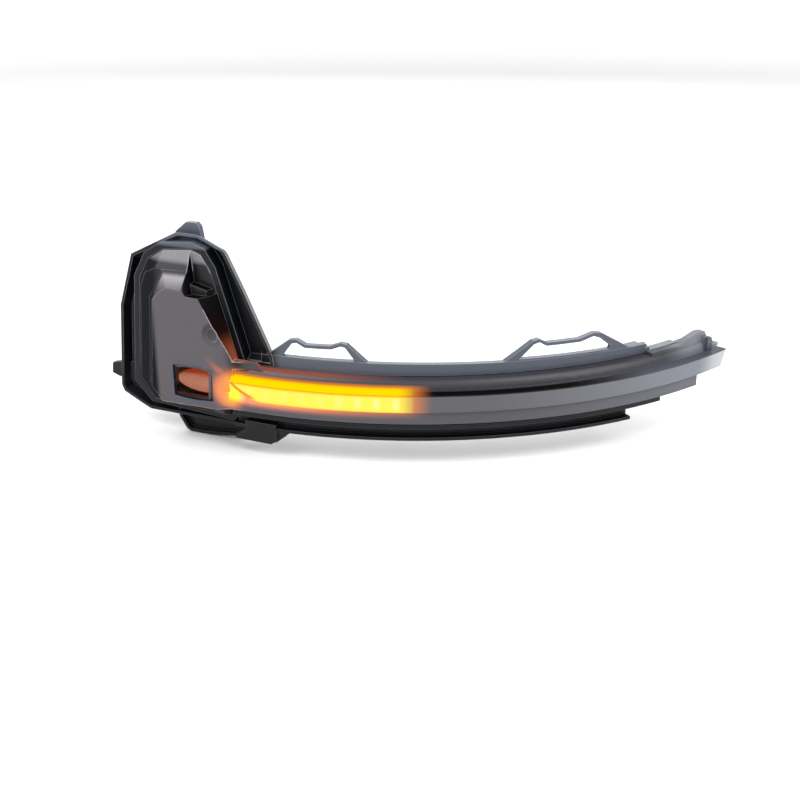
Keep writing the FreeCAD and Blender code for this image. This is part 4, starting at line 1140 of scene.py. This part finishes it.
@dataclass
class Driver(Assembly):
    """The driver board with its components, screws and ribbon."""

    screws: tuple[Pair, ...] = ((-0.0366, -0.0050), (-0.0204, 0.0220))
    slot_depth: float = -8.5 * MM
    slot_width: float = 0.5 * MM
    slot_arm: float = 0.85 * MM
    chip_sides: Span = (-31.5 * MM, -25.5 * MM)
    leg_width: float = 0.3 * MM
    leg_depth: float = -7.75 * MM
    leg_low: float = 15.3 * MM
    leg_pitch: float = 0.73 * MM
    legs: int = 7
    leg_steps: tuple[Pair, ...] = ((0.25 * MM, 0.0), (0.15 * MM, 0.45 * MM),
                                   (0.30 * MM, 0.15 * MM))
    coil: Vector = field(default_factory=lambda: Vector((-32.5, -9.42, 2.5)) * MM)
    coil_radius: float = 2.65 * MM
    coil_wire: float = 0.2 * MM
    coil_pitch: float = 0.42 * MM
    turns: int = 5

    def build(self) -> None:
        """Dresses the board and everything on it, and adds its finest parts."""
        self.dress_nodes(driver_board="green_board", driver_chip="black_component",
                         chip_resistors="black_component", chip_capacitors="ceramic_component",
                         protection_diode="black_component", power_inductor="black_component",
                         board_screws="screw_steel", board_ribbon="ribbon")
        self.screw_slots()
        self.chip_legs()
        self.coil_turns()

    def screw_slots(self) -> None:
        """Makes the dark cross in each screw head: painted shade, a black block where the cross
        recess lies in shadow.
        """
        mesh = bmesh.new()
        for across, up in self.screws:
            made = bmesh.ops.create_cube(mesh, size=self.slot_width, matrix=Matrix.Translation(
                (across, self.slot_depth, up)))
            sides = [face for face in faces_of(mesh, made) if abs(face.normal.y) < 0.5]
            for arm in bmesh.ops.extrude_discrete_faces(mesh, faces=sides)["faces"]:
                bmesh.ops.translate(mesh, verts=arm.verts, vec=arm.normal * self.slot_arm)
        self.keep(mesh, "screw_slots", "black_component", "screw_steel", smooth=False)

    def chip_legs(self) -> None:
        """Bends the row of pins down each side of the chip."""
        mesh = bmesh.new()
        for side, edge in zip((-1.0, 1.0), self.chip_sides):
            across = edge + side * self.leg_width / 2
            for number in range(self.legs):
                place = (across, self.leg_depth, self.leg_low + self.leg_pitch * number)
                made = bmesh.ops.create_cube(mesh, size=self.leg_width,
                                             matrix=Matrix.Translation(place))
                tip = next(face for face in faces_of(mesh, made) if face.normal.x * side > 0.5)
                for out, back in self.leg_steps:
                    tip = bmesh.ops.extrude_discrete_faces(mesh, faces=[tip])["faces"][0]
                    bmesh.ops.translate(mesh, verts=tip.verts, vec=(side * out, back, 0.0))
        self.keep(mesh, "chip_legs", "tinned_contact", "tinned_contact", smooth=False)

    def coil_turns(self) -> None:
        """Spins the copper turns round the inductor's core."""
        mesh = bmesh.new()
        for number in range(self.turns):
            centre = self.coil + Vector((0.0, self.coil_pitch * number, 0.0))
            spin_wire(mesh, centre, self.coil_radius, self.coil_wire, corners=8, steps=32)
        self.keep(mesh, "coil_turns", "ribbon", "ribbon")


@dataclass(frozen=True)
class SoftLight:
    """A square light that hangs over the lamp and points at it, in metres and watts."""

    name: str
    place: Triple
    width: float
    power: float

    def hang(self) -> None:
        """Hangs the light."""
        data = bpy.data.lights.new(self.name, "AREA")
        data.size = self.width
        data.energy = self.power
        light = link(self.name, data)
        light.location = self.place
        aim = Vector((0.05, 0.0, 0.0)) - light.location
        light.rotation_euler = aim.to_track_quat("-Z", "Y").to_euler()


@dataclass
class Studio:
    """A plain pale floor, soft light and the camera that took the photo's view."""

    eye: Vector = field(default_factory=lambda: Vector((240.83, -400.75, 169.59)) * MM)
    right: Vector = field(default_factory=lambda: Vector((0.91359, 0.40664, 0.0)))
    up: Vector = field(default_factory=lambda: Vector((-0.15233, 0.34224, 0.92718)))
    ahead: Vector = field(default_factory=lambda: Vector((-0.37703, 0.84706, -0.37461)))
    focal: float = 53.57
    sensor: float = 36.0
    sight: Span = (0.01, 20.0)
    middle: Triple = (0.05, 0.03, -31.2 * MM)
    floor_size: float = 9.0
    paper: Colour = (0.92, 0.92, 0.92)
    bright_from: Span = (0.8, 1.9)
    bright_levels: Span = (0.0, 0.45)
    room_light: float = 0.62
    lights: tuple[SoftLight, ...] = (
        SoftLight("key_light", (-0.55, -0.75, 0.95), 0.9, 11.0),
        SoftLight("rim_light", (0.75, -0.10, 0.75), 0.7, 7.0),
        SoftLight("back_light", (-0.25, 0.80, 0.60), 0.8, 6.0))

    def build(self) -> None:
        """Builds the floor, the light and the camera."""
        self.floor()
        self.daylight()
        for light in self.lights:
            light.hang()
        self.camera()

    def floor(self) -> None:
        """Lays the floor under the lamp."""
        mesh = bmesh.new()
        bmesh.ops.create_grid(mesh, x_segments=8, y_segments=8, size=self.floor_size / 2,
                              matrix=Matrix.Translation(self.middle))
        data = bpy.data.meshes.new("studio_floor")
        mesh.to_mesh(data)
        mesh.free()
        floor = link("studio_floor", data)
        bench = Bench("floor_paper")
        away = bench.fade(bench.distance(self.middle), self.bright_from, self.bright_levels)
        node = bench.shader(Base_Color=self.paper, Roughness=0.9, Normal=bench.relief(
            bench.noise(300.0), 0.02), Emission_Color=(1.0, 1.0, 1.0), Emission_Strength=away)
        data.materials.append(bench.close(node.outputs[0]))

    def daylight(self) -> None:
        """Fills the room with even white light."""
        world = bpy.data.worlds.new("studio_room")
        world.use_nodes = True
        background = world.node_tree.nodes["Background"]
        background.inputs["Color"].default_value = (1.0, 1.0, 1.0, 1.0)
        background.inputs["Strength"].default_value = self.room_light
        bpy.context.scene.world = world
        bpy.context.scene.view_settings.view_transform = "Standard"

    def camera(self) -> None:
        """Sets up the camera at the photo's angle."""
        data = bpy.data.cameras.new("photo_camera")
        data.lens = self.focal
        data.sensor_width = self.sensor
        data.clip_start, data.clip_end = self.sight
        camera = link("photo_camera", data)
        turned = Matrix((self.right, self.up, -self.ahead)).transposed().to_4x4()
        camera.matrix_world = Matrix.Translation(self.eye) @ turned
        bpy.context.scene.camera = camera


def main() -> None:
    """Builds every sub-assembly in order and reports its pieces."""
    logging.basicConfig(level=logging.INFO, format="%(message)s")
    Studio().build()
    wardrobe = Wardrobe()
    for part in (Housing(wardrobe), Reflector(wardrobe), LightStrip(wardrobe), Driver(wardrobe),
                 LensCap(wardrobe)):
        part.build()
        for piece in part.pieces:
            log.info("%s: %s, %d faces", type(part).__name__, piece.name,
                     len(piece.data.polygons))


if __name__ == "__main__":
    main()
